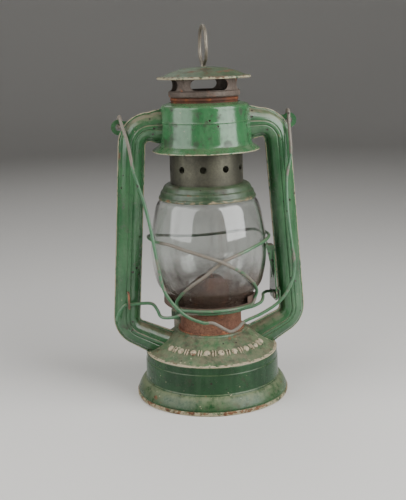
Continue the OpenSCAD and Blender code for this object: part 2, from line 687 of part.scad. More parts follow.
module globe_seat() {
    outline = [[seat_r - 0.4, seat_z], [seat_r, seat_z + 0.8], [seat_r - 0.3, seat_z + 1.9],
        [seat_r - 1.3, seat_z + 2.5],
        [seat_r - 2, seat_z + 6.4], [seat_r - 2.9, seat_z + 7.3], [seat_r - 3.1, seat_z + 8.5],
        [seat_r - 4.4, seat_z + 9], [chimney_r, seat_top]];
    inside = [[chimney_r, seat_top - 1.3], [chimney_r, globe_top + 0.05], [seat_r - 3.6, globe_top + 0.05],
        [seat_r - 2.1, seat_z + 2.2], [seat_r - 1.2, seat_z + 1.2], [seat_r - 1.2, seat_z]];
    color(GREEN) rotate_extrude() polygon(concat(outline, inside));
}

module chimney_neck() {
    bead = neck_r + 0.5;
    color(RUST) rotate_extrude() polygon([[neck_r - sheet, hood_z], [neck_r, hood_z],
        [neck_r, neck_top - 2.8],
        [bead, neck_top - 2.4], [bead, neck_top - 1], [neck_r, neck_top - 0.6], [neck_r, neck_top],
        [neck_r - sheet, neck_top]]);
}

module vent_collar() {
    wide = neck_r + 1.8;
    waist = wide - 1;
    slot_h = vent_h - 5.8;
    slot_w = wide * 1.02;
    color(BARE) difference() {
        union() {
            rotate_extrude() polygon([[neck_r - sheet, neck_top], [wide - 0.5, neck_top],
                [wide, neck_top + 0.8],
                [wide, neck_top + 3.8], [waist, neck_top + 4.4], [waist, vent_top - 1], [wide, vent_top],
                [waist - sheet - 0.4, vent_top], [waist - sheet, vent_top - 1],
                [waist - sheet, neck_top + 4],
                [wide - sheet, neck_top + 3.4], [wide - sheet, neck_top + sheet],
                [neck_r - sheet, neck_top + sheet]]);
            for (i = [0:3]) rotate([0, 0, 45 + 90 * i]) translate([waist - 0.4, 0, neck_top + 4.8])
                cylinder(r = 0.8, h = vent_h - 6.4, $fn = 24);
        }
        for (i = [0:3]) rotate([0, 0, 90 * i]) translate([0, 0, neck_top + 4.6 + slot_h / 2])
            rotate([90, 0, 0]) linear_extrude(wide * 2) {
                square([slot_w - slot_h, slot_h], center = true);
                for (s = [-1, 1]) translate([s * (slot_w - slot_h) / 2, 0]) circle(d = slot_h, $fn = 48);
            }
    }
}

module cap() {
    z = vent_top;
    color(GREEN) difference() {
        rotate_extrude() polygon([[0, z + 6.8], [8, z + 6.4], [17, z + 5.2], [22, z + 3.6], [24, z + 3.2],
            [27, z + 2],
            [30, z + 0.6], [cap_r - 0.8, z - 0.2], [cap_r - 0.4, z - 0.8], [cap_r, z - 0.2],
            [cap_r - 0.3, z + 0.8],
            [30, z + 1.4], [27, z + 2.9], [24, z + 4.2], [22.6, z + 4.5], [17.6, z + 6.1], [8, z + 7.3],
            [0, cap_top]]);
        for (s = [-1, 1]) translate([0, s * 3, z + 4]) cylinder(d = wire_d, h = 6, $fn = 32);
    }
}

module lift_ring() {
    w = ring_w / 2;
    low = cap_top - 1.6;
    top = cap_top + ring_h - wire_r;
    half = [[0, 3, low], [0, 3.2, low + 2.6], [0, 6, low + 4.6], [0, w * 0.8, low + 7], [0, w, low + 12],
        [0, w, top - w], [0, w * 0.8, top - w * 0.38], [0, w * 0.42, top - w * 0.1], [0, 0, top]];
    path = concat(half, [for (i = [len(half) - 2:-1:0]) [0, -half[i][1], half[i][2]]]);
    color(BARE) wire(smooth(path, 3), wire_d, [1, 0, 0]);
}

// Place on the bail: across as a share of the ears' distance, down its length, and forward of its plane
function bail_point(across, down, forward = 0) =
    bail_axis + [across * ear_at[0], 0, 0]
    + (loop_r / cos(bail_lean) + down * bail_len * sin(bail_lean) + forward) * [0, -1, 0]
    + down * bail_len * cos(bail_lean) * [0, 0, -1];

// End loop round the ear, from its inside to the place where the leg leaves it
function bail_loop(side) = [for (a = [300:-25:0])
    bail_axis + [side * (ear_at[0] + 1.4 * a / 300 - 1.2), -loop_r * cos(a), loop_r * sin(a)]];

module bail() {
    legs = [bail_point(-0.955, 0.04, 0.6), bail_point(-0.93, 0.08, 2.2), bail_point(-0.9, 0.15, 0.8),
        bail_point(-0.87, 0.24), bail_point(-0.78, 0.38), bail_point(-0.72, 0.52), bail_point(-0.67, 0.68),
        bail_point(-0.61, 0.8), bail_point(-0.43, 0.9), bail_point(-0.22, 0.948), bail_point(-0.09, 0.955),
        bail_point(0.03, 0.985), bail_point(0.11, 1), bail_point(0.2, 0.985), bail_point(0.28, 0.958),
        bail_point(0.5, 0.925), bail_point(0.72, 0.872), bail_point(0.87, 0.787), bail_point(0.915, 0.7),
        bail_point(0.9, 0.6), bail_point(0.885, 0.45), bail_point(0.9, 0.3), bail_point(0.96, 0.21),
        bail_point(0.975, 0.15, 0.6), bail_point(0.97, 0.08, 1.6), bail_point(0.975, 0.04, 0.4)];
    right = bail_loop(1);
    color(GREEN) wire(concat(bail_loop(-1), smooth(legs, 2), [for (i = [len(right) - 1:-1:0]) right[i]]),
        wire_d, [1, 0, 0]);
}

tank_wall();
tank_bottom();
tank_top();
filler_neck();
filler_gasket();
filler_cap();
air_drum();
burner_collar();
burner_base();
burner_cone();
wick_tube();
wick();
wick_shaft();
wick_wheel();
tube_left_front();
tube_left_back();
tube_right_front();
tube_right_back();
ear_left();
ear_right();
hood_skirt();
hood_top_shell();
hood_spring();
guide_staple();
lever_bracket();
lever_pin();
lift_lever();
globe_plate();
globe();
globe_guard();
cradle_wire();
chimney_tube();
globe_seat();
chimney_neck();
vent_collar();
cap();
lift_ring();
bail();
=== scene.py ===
import math
import bmesh
import bpy
from mathutils import Matrix, Vector, noise


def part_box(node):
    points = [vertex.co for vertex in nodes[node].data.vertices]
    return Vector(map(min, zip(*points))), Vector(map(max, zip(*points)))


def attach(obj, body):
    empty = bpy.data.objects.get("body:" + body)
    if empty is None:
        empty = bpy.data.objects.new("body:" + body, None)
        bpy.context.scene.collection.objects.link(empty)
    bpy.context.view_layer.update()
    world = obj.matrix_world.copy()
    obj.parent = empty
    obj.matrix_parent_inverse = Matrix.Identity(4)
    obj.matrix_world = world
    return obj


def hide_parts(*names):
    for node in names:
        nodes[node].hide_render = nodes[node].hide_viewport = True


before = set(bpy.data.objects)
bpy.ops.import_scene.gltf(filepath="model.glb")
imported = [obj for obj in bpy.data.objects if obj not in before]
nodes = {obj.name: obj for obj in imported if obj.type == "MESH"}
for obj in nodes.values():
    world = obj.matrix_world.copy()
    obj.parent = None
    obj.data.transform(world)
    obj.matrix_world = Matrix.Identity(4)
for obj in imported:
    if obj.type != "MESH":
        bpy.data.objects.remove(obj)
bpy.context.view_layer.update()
mm = 0.001  # sizes below are in millimetres unless a line says otherwise
crisp = 32  # degrees between faces from which an edge stays sharp
wideSteps, midSteps, narrowSteps = 192, 176, 144  # points round a turned piece


def low(node):
    return [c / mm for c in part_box(node)[0]]


def high(node):
    return [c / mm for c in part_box(node)[1]]


def linear(hexText):
    parts = [int(hexText[i:i + 2], 16) / 255 for i in (1, 3, 5)]
    return [c / 12.92 if c <= 0.04045 else ((c + 0.055) / 1.055) ** 2.4 for c in parts] + [1]


def addNode(tree, kind, settings, *inputs, **named):
    # inputs are numbers, hex colours, nodes or sockets, in the order of the node's shown sockets or by name
    node = tree.nodes.new(kind)
    for key, value in settings.items():
        setattr(node, key, value)
    shown = [socket for socket in node.inputs if socket.enabled]
    for socket, value in [*zip(shown, inputs), *((node.inputs[key], value) for key, value in named.items())]:
        if isinstance(value, bpy.types.Node):
            value = next(made for made in value.outputs if made.enabled)
        if isinstance(value, bpy.types.NodeSocket):
            tree.links.new(value, socket)
        else:
            socket.default_value = linear(value) if isinstance(value, str) else value
    return node


def patches(tree, place, size, seed, start, end, detail=3.0, rough=0.55, draw=1.0, push=None):
    # cloudy patches about size across: 0 below start, 1 above end; a draw below 1 stretches them upwards,
    # and push is a mask and how much of it is added to the cloud
    if draw != 1:
        place = addNode(tree, "ShaderNodeMapping", {}, place, Scale=(1, 1, draw))
    cloud = addNode(tree, "ShaderNodeTexNoise", {"noise_dimensions": "4D"},
                    place, seed, 1 / (size * mm), detail, rough)
    if push:
        cloud = addNode(tree, "ShaderNodeMath", {"operation": "MULTIPLY_ADD"}, *push, cloud)
    return addNode(tree, "ShaderNodeMapRange", {"interpolation_type": "SMOOTHSTEP"}, cloud, start, end)


def whereAll(tree, *masks):
    # the mask that is left where all of these masks meet
    total = masks[0]
    for mask in masks[1:]:
        total = addNode(tree, "ShaderNodeMath", {"operation": "MULTIPLY"}, total, mask)
    return total


def weighed(tree, start, *terms):
    # start, plus each mask times its weight
    for term in terms:
        start = addNode(tree, "ShaderNodeMath", {"operation": "MULTIPLY_ADD"}, *term, start)
    return start


def layered(tree, colour, *layers):
    # coats laid over each other, each with the mask that it shows through
    for mask, coat in layers:
        colour = addNode(tree, "ShaderNodeMix", {"data_type": "RGBA"}, mask, colour, coat)
    return colour


def newSurface(name):
    # a material with one shader, and the place that its patterns are laid out by
    material = bpy.data.materials.new(name)
    material.use_nodes = True
    tree = material.node_tree
    tree.nodes.clear()
    shader = addNode(tree, "ShaderNodeBsdfPrincipled", {})
    addNode(tree, "ShaderNodeOutputMaterial", {}, shader)
    return material, tree, shader, addNode(tree, "ShaderNodeTexCoord", {}).outputs["Object"]


def finish(tree, shader, colour, dullness, fromGloss, toMatt, height, depth):
    # colour, roughness and fine relief of a surface; depth is the relief's height
    bump = addNode(tree, "ShaderNodeBump", {}, Height=height, Distance=depth * mm)
    roughness = addNode(tree, "ShaderNodeMix", {"data_type": "FLOAT"}, dullness, fromGloss, toMatt)
    for key, value in (("Base Color", colour), ("Roughness", roughness), ("Normal", bump)):
        tree.links.new(next(made for made in value.outputs if made.enabled), shader.inputs[key])


def enamel(name, look):
    # stoved gloss enamel on sheet steel: a hard wet shine, scuffed through to metal on its edges
    material, tree, shader, place = newSurface(name)
    wear = addNode(tree, "ShaderNodeAttribute", {"attribute_name": "wear"}).outputs["Fac"]
    normal = addNode(tree, "ShaderNodeTexCoord", {}).outputs["Normal"]
    facing = addNode(tree, "ShaderNodeSeparateXYZ", {}, normal).outputs[2]
    upward = addNode(tree, "ShaderNodeMapRange", {"interpolation_type": "SMOOTHSTEP"}, facing, 0.12, 0.8)
    seed = look["seed"]
    tone = patches(tree, place, 26, seed, 0.35, 0.65)
    mottle = patches(tree, place, 2.6, seed + 1, 0.40, 0.72, 5)
    streak = patches(tree, place, 5, seed + 2, 0.42, 0.70, 4, 0.6, 0.16)
    scuff = patches(tree, place, 3.2, seed + 5, 0.3, 0.7, 6, 0.7)
    dust = whereAll(tree, upward, patches(tree, place, 5, seed + 3, 0.30, 0.60, 8, 0.7))
    rust = patches(tree, place, 9, seed + 4, 0.74 - look["rust"], 0.82 - look["rust"], 8, 0.72,
                   push=(wear, look["edgeRust"]))
    grime = patches(tree, place, 11, seed + 7, 0.60 - look["grime"], 0.69 - look["grime"], 9, 0.75)
    bare = patches(tree, place, 3.2, seed + 5, 0.98 - look["bareSpread"], 1.08 - look["bareSpread"], 6, 0.7,
                   push=(wear, 0.6))
    spots = addNode(tree, "ShaderNodeTexVoronoi", {}, place, 1 / (5 * mm))
    chipSize = weighed(tree, -0.01, (patches(tree, place, 24, seed + 6, 0.42, 0.66), 0.21), (spots, -1.0))
    chip = addNode(tree, "ShaderNodeMapRange", {"interpolation_type": "SMOOTHSTEP"}, chipSize, 0.0, 0.03)
    grains = addNode(tree, "ShaderNodeTexVoronoi", {}, place, 1 / (2.7 * mm))
    speckSize = weighed(tree, 0, (patches(tree, place, 8, seed + 8, 0.46, 0.75), look["specks"]),
                        (grains, -1.0))
    speck = addNode(tree, "ShaderNodeMapRange", {"interpolation_type": "SMOOTHSTEP"}, speckSize, 0.0, 0.05)
    scuffed = layered(tree, look["bareColour"], (weighed(tree, 0, (scuff, 0.4)), look["rustColour"]))
    colour = layered(
        tree, look["paint"], (tone, look["paintPale"]), (weighed(tree, 0, (mottle, 0.35)), look["paintDark"]),
        (weighed(tree, 0, (streak, look["streak"])), look["film"]),
        (weighed(tree, 0, (grime, 0.75)), look["grimeColour"]),
        (weighed(tree, 0, (dust, look["dust"])), look["dustColour"]),
        (weighed(tree, 0, (speck, 0.7)), look["speckColour"]),
        (rust, layered(tree, look["rustColour"], (mottle, look["rustDark"]))),
        (bare, scuffed), (chip, look["chipColour"]))
    dullness = weighed(tree, 0, (dust, look["dust"]), (grime, 0.5), (rust, 1), (bare, 0.6))
    height = weighed(tree, 0, (mottle, 0.05), (tone, 0.2), (chip, -0.8), (bare, -0.5),
                     (whereAll(tree, rust, scuff), 0.9))
    gloss = weighed(tree, look["gloss"], (mottle, 0.1))
    finish(tree, shader, colour, dullness, gloss, 0.72, height, 0.12)
    shader.inputs["Specular IOR Level"].default_value = look["shine"]
    shader.inputs["Coat Weight"].default_value = look["coat"]
    shader.inputs["Coat Roughness"].default_value = 0.12
    return material


paint = {"paint": "#285031", "paintPale": "#37623e", "paintDark": "#19381f", "film": "#64785f",
         "streak": 0.2, "dust": 0.35, "dustColour": "#776d58", "rust": 0.06, "edgeRust": 0.16,
         "rustColour": "#6f4a30", "rustDark": "#3a2419", "grime": 0.0, "grimeColour": "#2b2a1d",
         "specks": 0.2, "speckColour": "#a39c80", "bareSpread": 0.04, "bareColour": "#a29e82",
         "chipColour": "#241a14", "gloss": 0.17, "shine": 0.5, "coat": 0.2}
tankEnamel = enamel("worn green enamel, tank", {
    **paint, "seed": 3.0, "paint": "#17351d", "paintPale": "#214627", "paintDark": "#0f2414",
    "dust": 0.6, "dustColour": "#7f8466", "grime": 0.05, "edgeRust": 0.3, "specks": 0.3,
    "streak": 0.08, "shine": 0.3, "coat": 0.0, "gloss": 0.2})
topEnamel = enamel("dusty green enamel, tank top", {
    **paint, "seed": 11.0, "paint": "#2c4a2f", "dust": 0.42, "dustColour": "#857b62",
    "rust": 0.12, "grime": 0.12, "specks": 0.5, "gloss": 0.36, "coat": 0.05,
    "bareSpread": 0.12, "bareColour": "#b3a98f"})
tubeEnamel = enamel("worn green enamel, side tubes", {
    **paint, "seed": 19.0, "dust": 0.85, "grime": 0.05})
hoodEnamel = enamel("glossy green enamel, hood", {
    **paint, "seed": 27.0, "paint": "#2f5f3a", "paintPale": "#3b6c44", "dust": 0.2,
    "grime": 0.08, "grimeColour": "#27301f", "rust": 0.04})
seatEnamel = enamel("olive green enamel, globe seat", {
    **paint, "seed": 35.0, "paint": "#233722", "paintPale": "#30452e", "paintDark": "#1b2a1a",
    "dust": 0.14, "grime": 0.08, "rust": 0.07, "bareColour": "#8f866a", "gloss": 0.34,
    "coat": 0.0})
capEnamel = enamel("green enamel burnt by the flue, cap", {
    **paint, "seed": 43.0, "paint": "#1f3d25", "paintPale": "#2b4a2f", "dust": 0.4,
    "dustColour": "#5f5842", "grime": 0.07, "rust": 0.14, "edgeRust": 0.2,
    "rustColour": "#5d4430", "gloss": 0.42, "coat": 0.0})
wireEnamel = enamel("green enamel rubbed off steel wire", {
    **paint, "seed": 51.0, "paint": "#2b5a38", "paintPale": "#3f6c4b", "streak": 0.1,
    "bareSpread": 0.2, "bareColour": "#716c62", "rustColour": "#594637", "rust": 0.05,
    "coat": 0.1, "gloss": 0.3})


def bareMetal(name, look):
    # unpainted sheet steel: oxidised to a dull skin, with rust in clouds and soot in streaks
    material, tree, shader, place = newSurface(name)
    wear = addNode(tree, "ShaderNodeAttribute", {"attribute_name": "wear"}).outputs["Fac"]
    seed = look["seed"]
    tone = patches(tree, place, 18, seed, 0.34, 0.68, 5, 0.6)
    fine = patches(tree, place, 1.6, seed + 1, 0.36, 0.70, 6, 0.7)
    streak = patches(tree, place, 6, seed + 2, 0.45, 0.70, 4, 0.6, 0.2)
    rust = patches(tree, place, 10, seed + 3, 0.72 - look["rust"], 0.84 - look["rust"], 8, 0.7,
                   push=(wear, 0.16))
    colour = layered(tree, look["skin"], (tone, look["skinPale"]),
                     (weighed(tree, 0, (fine, look["speckle"])), look["skinDark"]),
                     (weighed(tree, 0, (streak, look["soot"])), look["sootColour"]),
                     (rust, layered(tree, look["rustColour"], (fine, look["rustBright"]))))
    height = weighed(tree, 0, (fine, 0.3), (rust, 0.5))
    gloss = weighed(tree, look["gloss"], (fine, 0.16))
    finish(tree, shader, colour, rust, gloss, 0.86, height, look["depth"])
    metal = weighed(tree, look["metal"], (rust, -look["metal"]))
    tree.links.new(metal.outputs[0], shader.inputs["Metallic"])
    return material


steel = {"skin": "#4a4940", "skinPale": "#605f51", "skinDark": "#3a3932", "speckle": 0.4, "soot": 0.45,
         "sootColour": "#3a3933", "rust": 0.02, "rustColour": "#7b4a2e", "rustBright": "#a3623a",
         "gloss": 0.42, "metal": 0.75, "depth": 0.06}
chimneySteel = bareMetal("dull tinned steel, chimney tube", {**steel, "seed": 61.0})
collarSteel = bareMetal("brown scaled steel, vent collar", {
    **steel, "seed": 67.0, "skin": "#4b413a", "skinPale": "#6c6057",
    "skinDark": "#33291f", "rust": 0.14, "metal": 0.4, "gloss": 0.55})
ringSteel = bareMetal("grey steel wire, lift ring", {
    **steel, "seed": 73.0, "skin": "#6b645a", "skinPale": "#8b8374", "rust": 0.08,
    "metal": 0.5})
springSteel = bareMetal("spring steel", {**steel, "seed": 79.0, "skin": "#4d4a44"})
rustSteel = {**steel, "skin": "#6a4433", "skinPale": "#876049", "skinDark": "#3f271c", "speckle": 0.7,
             "soot": 0.35, "sootColour": "#3b241b", "rust": 0.18, "rustColour": "#6d3f2c",
             "rustBright": "#a5714f", "gloss": 0.7, "metal": 0.1, "depth": 0.14}
drumRust = bareMetal("red rusted steel, air drum", {**rustSteel, "seed": 83.0})
burnerRust = bareMetal("sooty rusted steel, burner", {
    **rustSteel, "seed": 89.0, "skin": "#5a3d31", "skinPale": "#7a5240", "soot": 0.5})
plateRust = bareMetal("rusted steel, globe plate", {
    **rustSteel, "seed": 97.0, "skin": "#55473e", "skinPale": "#6d5c50", "rust": 0.1})
neckRust = bareMetal("orange rusted steel, neck", {
    **rustSteel, "seed": 101.0, "skin": "#371b0c", "skinPale": "#683618",
    "rustColour": "#4a2712", "rustBright": "#8a4b20"})
panRust = bareMetal("brown rusted steel, tank pan", {**rustSteel, "seed": 103.0, "skin": "#6a5243"})
brass = bareMetal("tarnished brass, burner fittings", {  # turned brass gone brown in patches
    **steel, "seed": 107.0, "skin": "#8f7440", "skinPale": "#6f5a34", "skinDark": "#3b3222",
    "sootColour": "#3b3222", "rust": -0.1, "gloss": 0.34, "metal": 0.9, "depth": 0.04})


def cottonMaterial():
    # woven cotton tape: ribs 1 mm apart, and charred at its top
    material, tree, shader, place = newSurface("woven cotton wick")
    wave = addNode(tree, "ShaderNodeTexWave", {"bands_direction": "Z"}, place, 1 / (3.1 * mm), 1.5)
    ribs = wave.outputs["Fac"]
    height = addNode(tree, "ShaderNodeSeparateXYZ", {}, place).outputs[2]
    top = high("wick")[2] * mm
    char = addNode(tree, "ShaderNodeMapRange", {}, height, top - 7 * mm, top - 2 * mm)
    colour = layered(tree, "#a8997a", (ribs, "#cfc3a6"), (char, "#15110e"))
    finish(tree, shader, colour, char, 0.85, 0.95, ribs, 0.2)
    return material


def rubberMaterial():
    # gasket rubber: black-brown and matt
    material, tree, shader, place = newSurface("oil-darkened rubber gasket")
    cloud = patches(tree, place, 3, 113.0, 0.3, 0.7, 4)
    finish(tree, shader, layered(tree, "#2a241e", (cloud, "#4a4036")), cloud, 0.6, 0.8, cloud, 0.05)
    return material


glassLook = {"tint": "#f4f7f5", "index": 1.5, "roughness": 0.03, "smokeTop": 0.42, "smokeFull": 0.12,
             "soot": "#4b3b31", "sootRuns": "#7a4c34", "sootRoughness": 0.6}


def glassMaterial():
    # blown soda-lime glass: clear, with a film of lamp smoke that thickens towards the burner
    material, tree, shader, place = newSurface("smoke-stained lamp glass")
    height = addNode(tree, "ShaderNodeSeparateXYZ", {}, place).outputs[2]
    base = low("globe")[2] * mm
    rise = high("globe")[2] * mm - base
    foot = addNode(tree, "ShaderNodeMapRange", {"interpolation_type": "SMOOTHSTEP"},
                   height, base + rise * glassLook["smokeTop"], base + rise * glassLook["smokeFull"])
    cloud = patches(tree, place, 12, 127.0, 0.36, 0.70, 6, 0.65)
    specks = patches(tree, place, 1.3, 131.0, 0.62, 0.72, 4, 0.6)
    runs = patches(tree, place, 7, 137.0, 0.56, 0.72, 4, 0.6, 0.12)
    film = weighed(tree, 0.03, (foot, 0.28), (whereAll(tree, foot, cloud), 0.4), (runs, 0.1), (specks, 0.14))
    shader.inputs["Base Color"].default_value = linear(glassLook["tint"])
    shader.inputs["Transmission Weight"].default_value = 1.0
    shader.inputs["IOR"].default_value = glassLook["index"]
    shader.inputs["Roughness"].default_value = glassLook["roughness"]
    stain = layered(tree, glassLook["soot"], (runs, glassLook["sootRuns"]))
    soot = addNode(tree, "ShaderNodeBsdfPrincipled", {}, stain, Roughness=glassLook["sootRoughness"])
    both = addNode(tree, "ShaderNodeMixShader", {}, film, shader, soot)
    output = next(node for node in tree.nodes if node.type == "OUTPUT_MATERIAL")
    tree.links.new(both.outputs[0], output.inputs["Surface"])
    return material


cotton = cottonMaterial()
rubber = rubberMaterial()
lampGlass = glassMaterial()
print("materials made:", len(bpy.data.materials))


def meshObject(name, points, faces, wear, sharp=crisp):
    # points in millimetres; edges that turn by more than sharp degrees stay crisp
    mesh = bpy.data.meshes.new(name)
    mesh.from_pydata([Vector(p) * mm for p in points], [], faces)
    mesh.attributes.new("wear", "FLOAT", "POINT").data.foreach_set("value", wear)
    form = bmesh.new()
    form.from_mesh(mesh)
    bmesh.ops.remove_doubles(form, verts=form.verts, dist=0.001 * mm)
    bmesh.ops.recalc_face_normals(form, faces=form.faces)
    form.to_mesh(mesh)
    form.free()
    mesh.shade_smooth()
    mesh.set_sharp_from_angle(angle=math.radians(sharp))
    made = bpy.data.objects.new(name, mesh)
    bpy.context.scene.collection.objects.link(made)
    return made


def settle(made):
    # apply the modifiers, and leave a plain mesh
    bpy.context.view_layer.update()
    done = bpy.data.meshes.new_from_object(made.evaluated_get(bpy.context.evaluated_depsgraph_get()))
    made.modifiers.clear()
    made.data = done
    return made


def fit(made, body, slot, material, *replaced):
    made.data.materials.clear()
    made.data.materials.append(material)
    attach(made, body)
    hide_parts(*replaced)
    return made


def rounded(points, radius, fade=1.4, steps=4):
    # soften every corner of an outline of (across, up, wear), and let its wear fade out on both sides
    out = [points[0]]
    for a, b, c in zip(points, points[1:], points[2:]):
        before, corner, after = (Vector(p[:2]) for p in (a, b, c))
        cut = min(radius, (corner - before).length * 0.45, (after - corner).length * 0.45)
        start = corner + (before - corner).normalized() * cut
        end = corner + (after - corner).normalized() * cut
        if (before - corner).length > 2.4 * (cut + fade):
            out.append((*(corner + (before - corner).normalized() * (cut + fade)), 0.0))
        for i in range(steps + 1):
            t = i / steps
            out.append((*(start * (1 - t) ** 2 + corner * 2 * t * (1 - t) + end * t ** 2), b[2]))
        if (after - corner).length > 2.4 * (cut + fade):
            out.append((*(corner + (after - corner).normalized() * (cut + fade)), 0.0))
    return out + [points[-1]]


def sheetLoop(points, thickness, edgeWear=0.6):
    # give an outline its wall on the inner side, as a closed loop
    inner = []
    for i, point in enumerate(points):
        a, b = points[max(i - 1, 0)], points[min(i + 1, len(points) - 1)]
        run = Vector((b[0] - a[0], b[1] - a[1])).normalized()
        inner.append((point[0] - run.y * thickness, point[1] + run.x * thickness, 0.0))
    loop = list(points) + inner[::-1]
    loop[0] = (*loop[0][:2], edgeWear)
    return loop


knocks = {"size": 22, "steady": 5}  # how wide old knocks are, and a radius below which they fade out


def lathe(name, loop, steps, sharp=crisp, dent=0.0, seed=0.0):
    # turn a closed outline of (radius, height, wear) about the Z axis; dent is how far old knocks move it
    count = len(loop)
    points, wear = [], []
    for i in range(steps):
        angle = 2 * math.pi * i / steps
        for radius, height, worn in loop:
            spot = Vector((radius * math.cos(angle), radius * math.sin(angle), height))
            knock = dent * noise.noise(spot / knocks["size"] + Vector((seed, 0, 0)))
            push = 1 + knock / max(radius, knocks["steady"])
            points.append((spot.x * push, spot.y * push, spot.z))
            wear.append(worn)
    faces = []
    for i in range(steps):
        for j in range(count):
            k, n = (i + 1) % steps, (j + 1) % count
            if max(loop[j][0], loop[n][0]) > 0.001:
                faces.append((i * count + j, k * count + j, k * count + n, i * count + n))
    return meshObject(name, points, faces, wear, sharp)


def cutBy(made, *cutters):
    for cutter in cutters:
        tool = made.modifiers.new("cut", "BOOLEAN")
        tool.operation, tool.object, tool.solver = "DIFFERENCE", cutter, "EXACT"
    settle(made)
    for cutter in cutters:
        bpy.data.objects.remove(cutter)
    made.data.shade_smooth()
    made.data.set_sharp_from_angle(angle=math.radians(crisp))
    return made


def cutter(radius, depth, spot, turn=(0, 0, 0)):
    # a plain drill, in millimetres and degrees, that a boolean uses and then removes
    bpy.ops.mesh.primitive_cylinder_add(
        vertices=64, radius=radius * mm, depth=depth * mm, location=[c * mm for c in spot],
        rotation=[math.radians(a) for a in turn])
    return bpy.context.object


def spline(points, steps, closed=False):
    # smooth curve through a few points
    count, out = len(points), []
    for i in range(count if closed else count - 1):
        a, b, c, d = (Vector(points[k % count] if closed else points[min(max(k, 0), count - 1)])
                      for k in (i - 1, i, i + 1, i + 2))
        for s in range(steps):
            t = s / steps
            out.append(0.5 * (2 * b + (c - a) * t + (2 * a - 5 * b + 4 * c - d) * t * t
                              + (3 * b - a - 3 * c + d) * t ** 3))
    return out if closed else out + [Vector(points[-1])]


def lerp(a, b, t):
    return a + (b - a) * t


def nodeGroup(name, *given):
    # an empty Geometry Nodes group with these inputs, each a name, a socket kind and a default
    tree = bpy.data.node_groups.new(name, "GeometryNodeTree")
    tree.interface.new_socket("Geometry", in_out="OUTPUT", socket_type="NodeSocketGeometry")
    for label, kind, default in (("Geometry", "NodeSocketGeometry", None),
                                 ("Material", "NodeSocketMaterial", None), *given):
        socket = tree.interface.new_socket(label, in_out="INPUT", socket_type=kind)
        if default is not None:
            socket.default_value = default
    return tree, addNode(tree, "NodeGroupInput", {})


def endGroup(tree, given, shape):
    # realize, paint and hand out what the group has made
    real = addNode(tree, "GeometryNodeRealizeInstances", {}, shape)
    painted = addNode(tree, "GeometryNodeSetMaterial", {}, real, Material=given.outputs["Material"])
    smooth = addNode(tree, "GeometryNodeSetShadeSmooth", {}, painted)
    addNode(tree, "NodeGroupOutput", {}, smooth)
    return tree


def grown(made, group, settings):
    # run a group on an object, its inputs set by socket identifier, and keep the plain mesh
    growth = made.modifiers.new("growth", "NODES")
    growth.node_group = group
    for socket in group.interface.items_tree:
        if socket.in_out == "INPUT" and socket.name in settings:
            growth[socket.identifier] = settings[socket.name]
    return settle(made)


def wireGroup():
    # sweeps a round wire along the edges of a mesh
    tree, given = nodeGroup("roundWire", ("Radius", "NodeSocketFloat", 1.2 * mm),
                            ("Sides", "NodeSocketInt", 16))
    route = addNode(tree, "GeometryNodeMeshToCurve", {}, given.outputs["Geometry"])
    ring = addNode(tree, "GeometryNodeCurvePrimitiveCircle", {"mode": "RADIUS"},
                   Resolution=given.outputs["Sides"], Radius=given.outputs["Radius"])
    swept = addNode(tree, "GeometryNodeCurveToMesh", {}, route, ring, **{"Fill Caps": True})
    return endGroup(tree, given, swept)


roundWire = wireGroup()
wire = {"diameter": 2.4, "sides": 16, "patch": 18, "patchWear": 0.6}  # patch is how long worn stretches are


def wireObject(name, path, material, closed, worn, seed, rubbed=()):
    # a bent wire along a path in millimetres; worn is how much of its enamel has gone, and rubbed lists
    # places and radii where it is all gone
    count = len(path)
    mesh = bpy.data.meshes.new(name)
    edges = [(i, (i + 1) % count) for i in range(count if closed else count - 1)]
    mesh.from_pydata([Vector(p) * mm for p in path], edges, [])
    wear = [max(0, worn + wire["patchWear"] * noise.noise(Vector(p) / wire["patch"] + Vector((seed, 0, 0))),
                *(1.5 - (Vector(p) - Vector(spot)).length / reach for spot, reach in rubbed)) for p in path]
    mesh.attributes.new("wear", "FLOAT", "POINT").data.foreach_set("value", wear)
    made = bpy.data.objects.new(name, mesh)
    bpy.context.scene.collection.objects.link(made)
    return grown(made, roundWire, {"Radius": wire["diameter"] / 2 * mm, "Sides": wire["sides"],
                                   "Material": material})


# tank: drawn wall with a rolled foot and a flared skirt
tank = {"rim": high("tank_wall")[0], "top": high("tank_top")[0], "height": high("tank_wall")[2],
        "sheet": 0.8, "rimHeight": 3.0, "flareTop": 12.5, "flareSteps": 9, "runOut": 1.3, "rise": 1.6,
        "bead": 28.0}
flare = []
for i in range(1, tank["flareSteps"] + 1):
    angle = math.pi / 2 * i / tank["flareSteps"]
    out = (tank["rim"] - 1.9 - tank["top"]) * math.cos(angle) ** tank["runOut"]
    up = (tank["flareTop"] - tank["rimHeight"]) * math.sin(angle) ** tank["rise"]
    flare.append((tank["top"] + 1.3 + out, tank["rimHeight"] + up, 0.3))
r, z = tank["top"], tank["flareTop"]
wallLine = [(tank["rim"] - 1.0, 0, 0.7), (tank["rim"], 0.2, 0.9),
            (tank["rim"], tank["rimHeight"] - 0.3, 0.8),
            (tank["rim"] - 1.3, tank["rimHeight"] + 0.1, 0.3), *flare,
            (r + 1.1, z + 0.8, 0.45), (r + 0.6, z + 1.5, 0.1), (r + 0.4, tank["bead"], 0),
            (r, tank["bead"] + 0.8, 0.2), (r, tank["height"] - 0.6, 0.3), (r - 0.3, tank["height"], 0.8)]
wallLoop = sheetLoop(rounded(wallLine, 0.8), tank["sheet"])
tankWall = lathe("tankWallPiece", wallLoop, wideSteps, dent=0.35, seed=2.0)
fit(tankWall, "frame", "green_enamel", tankEnamel, "tank_wall")

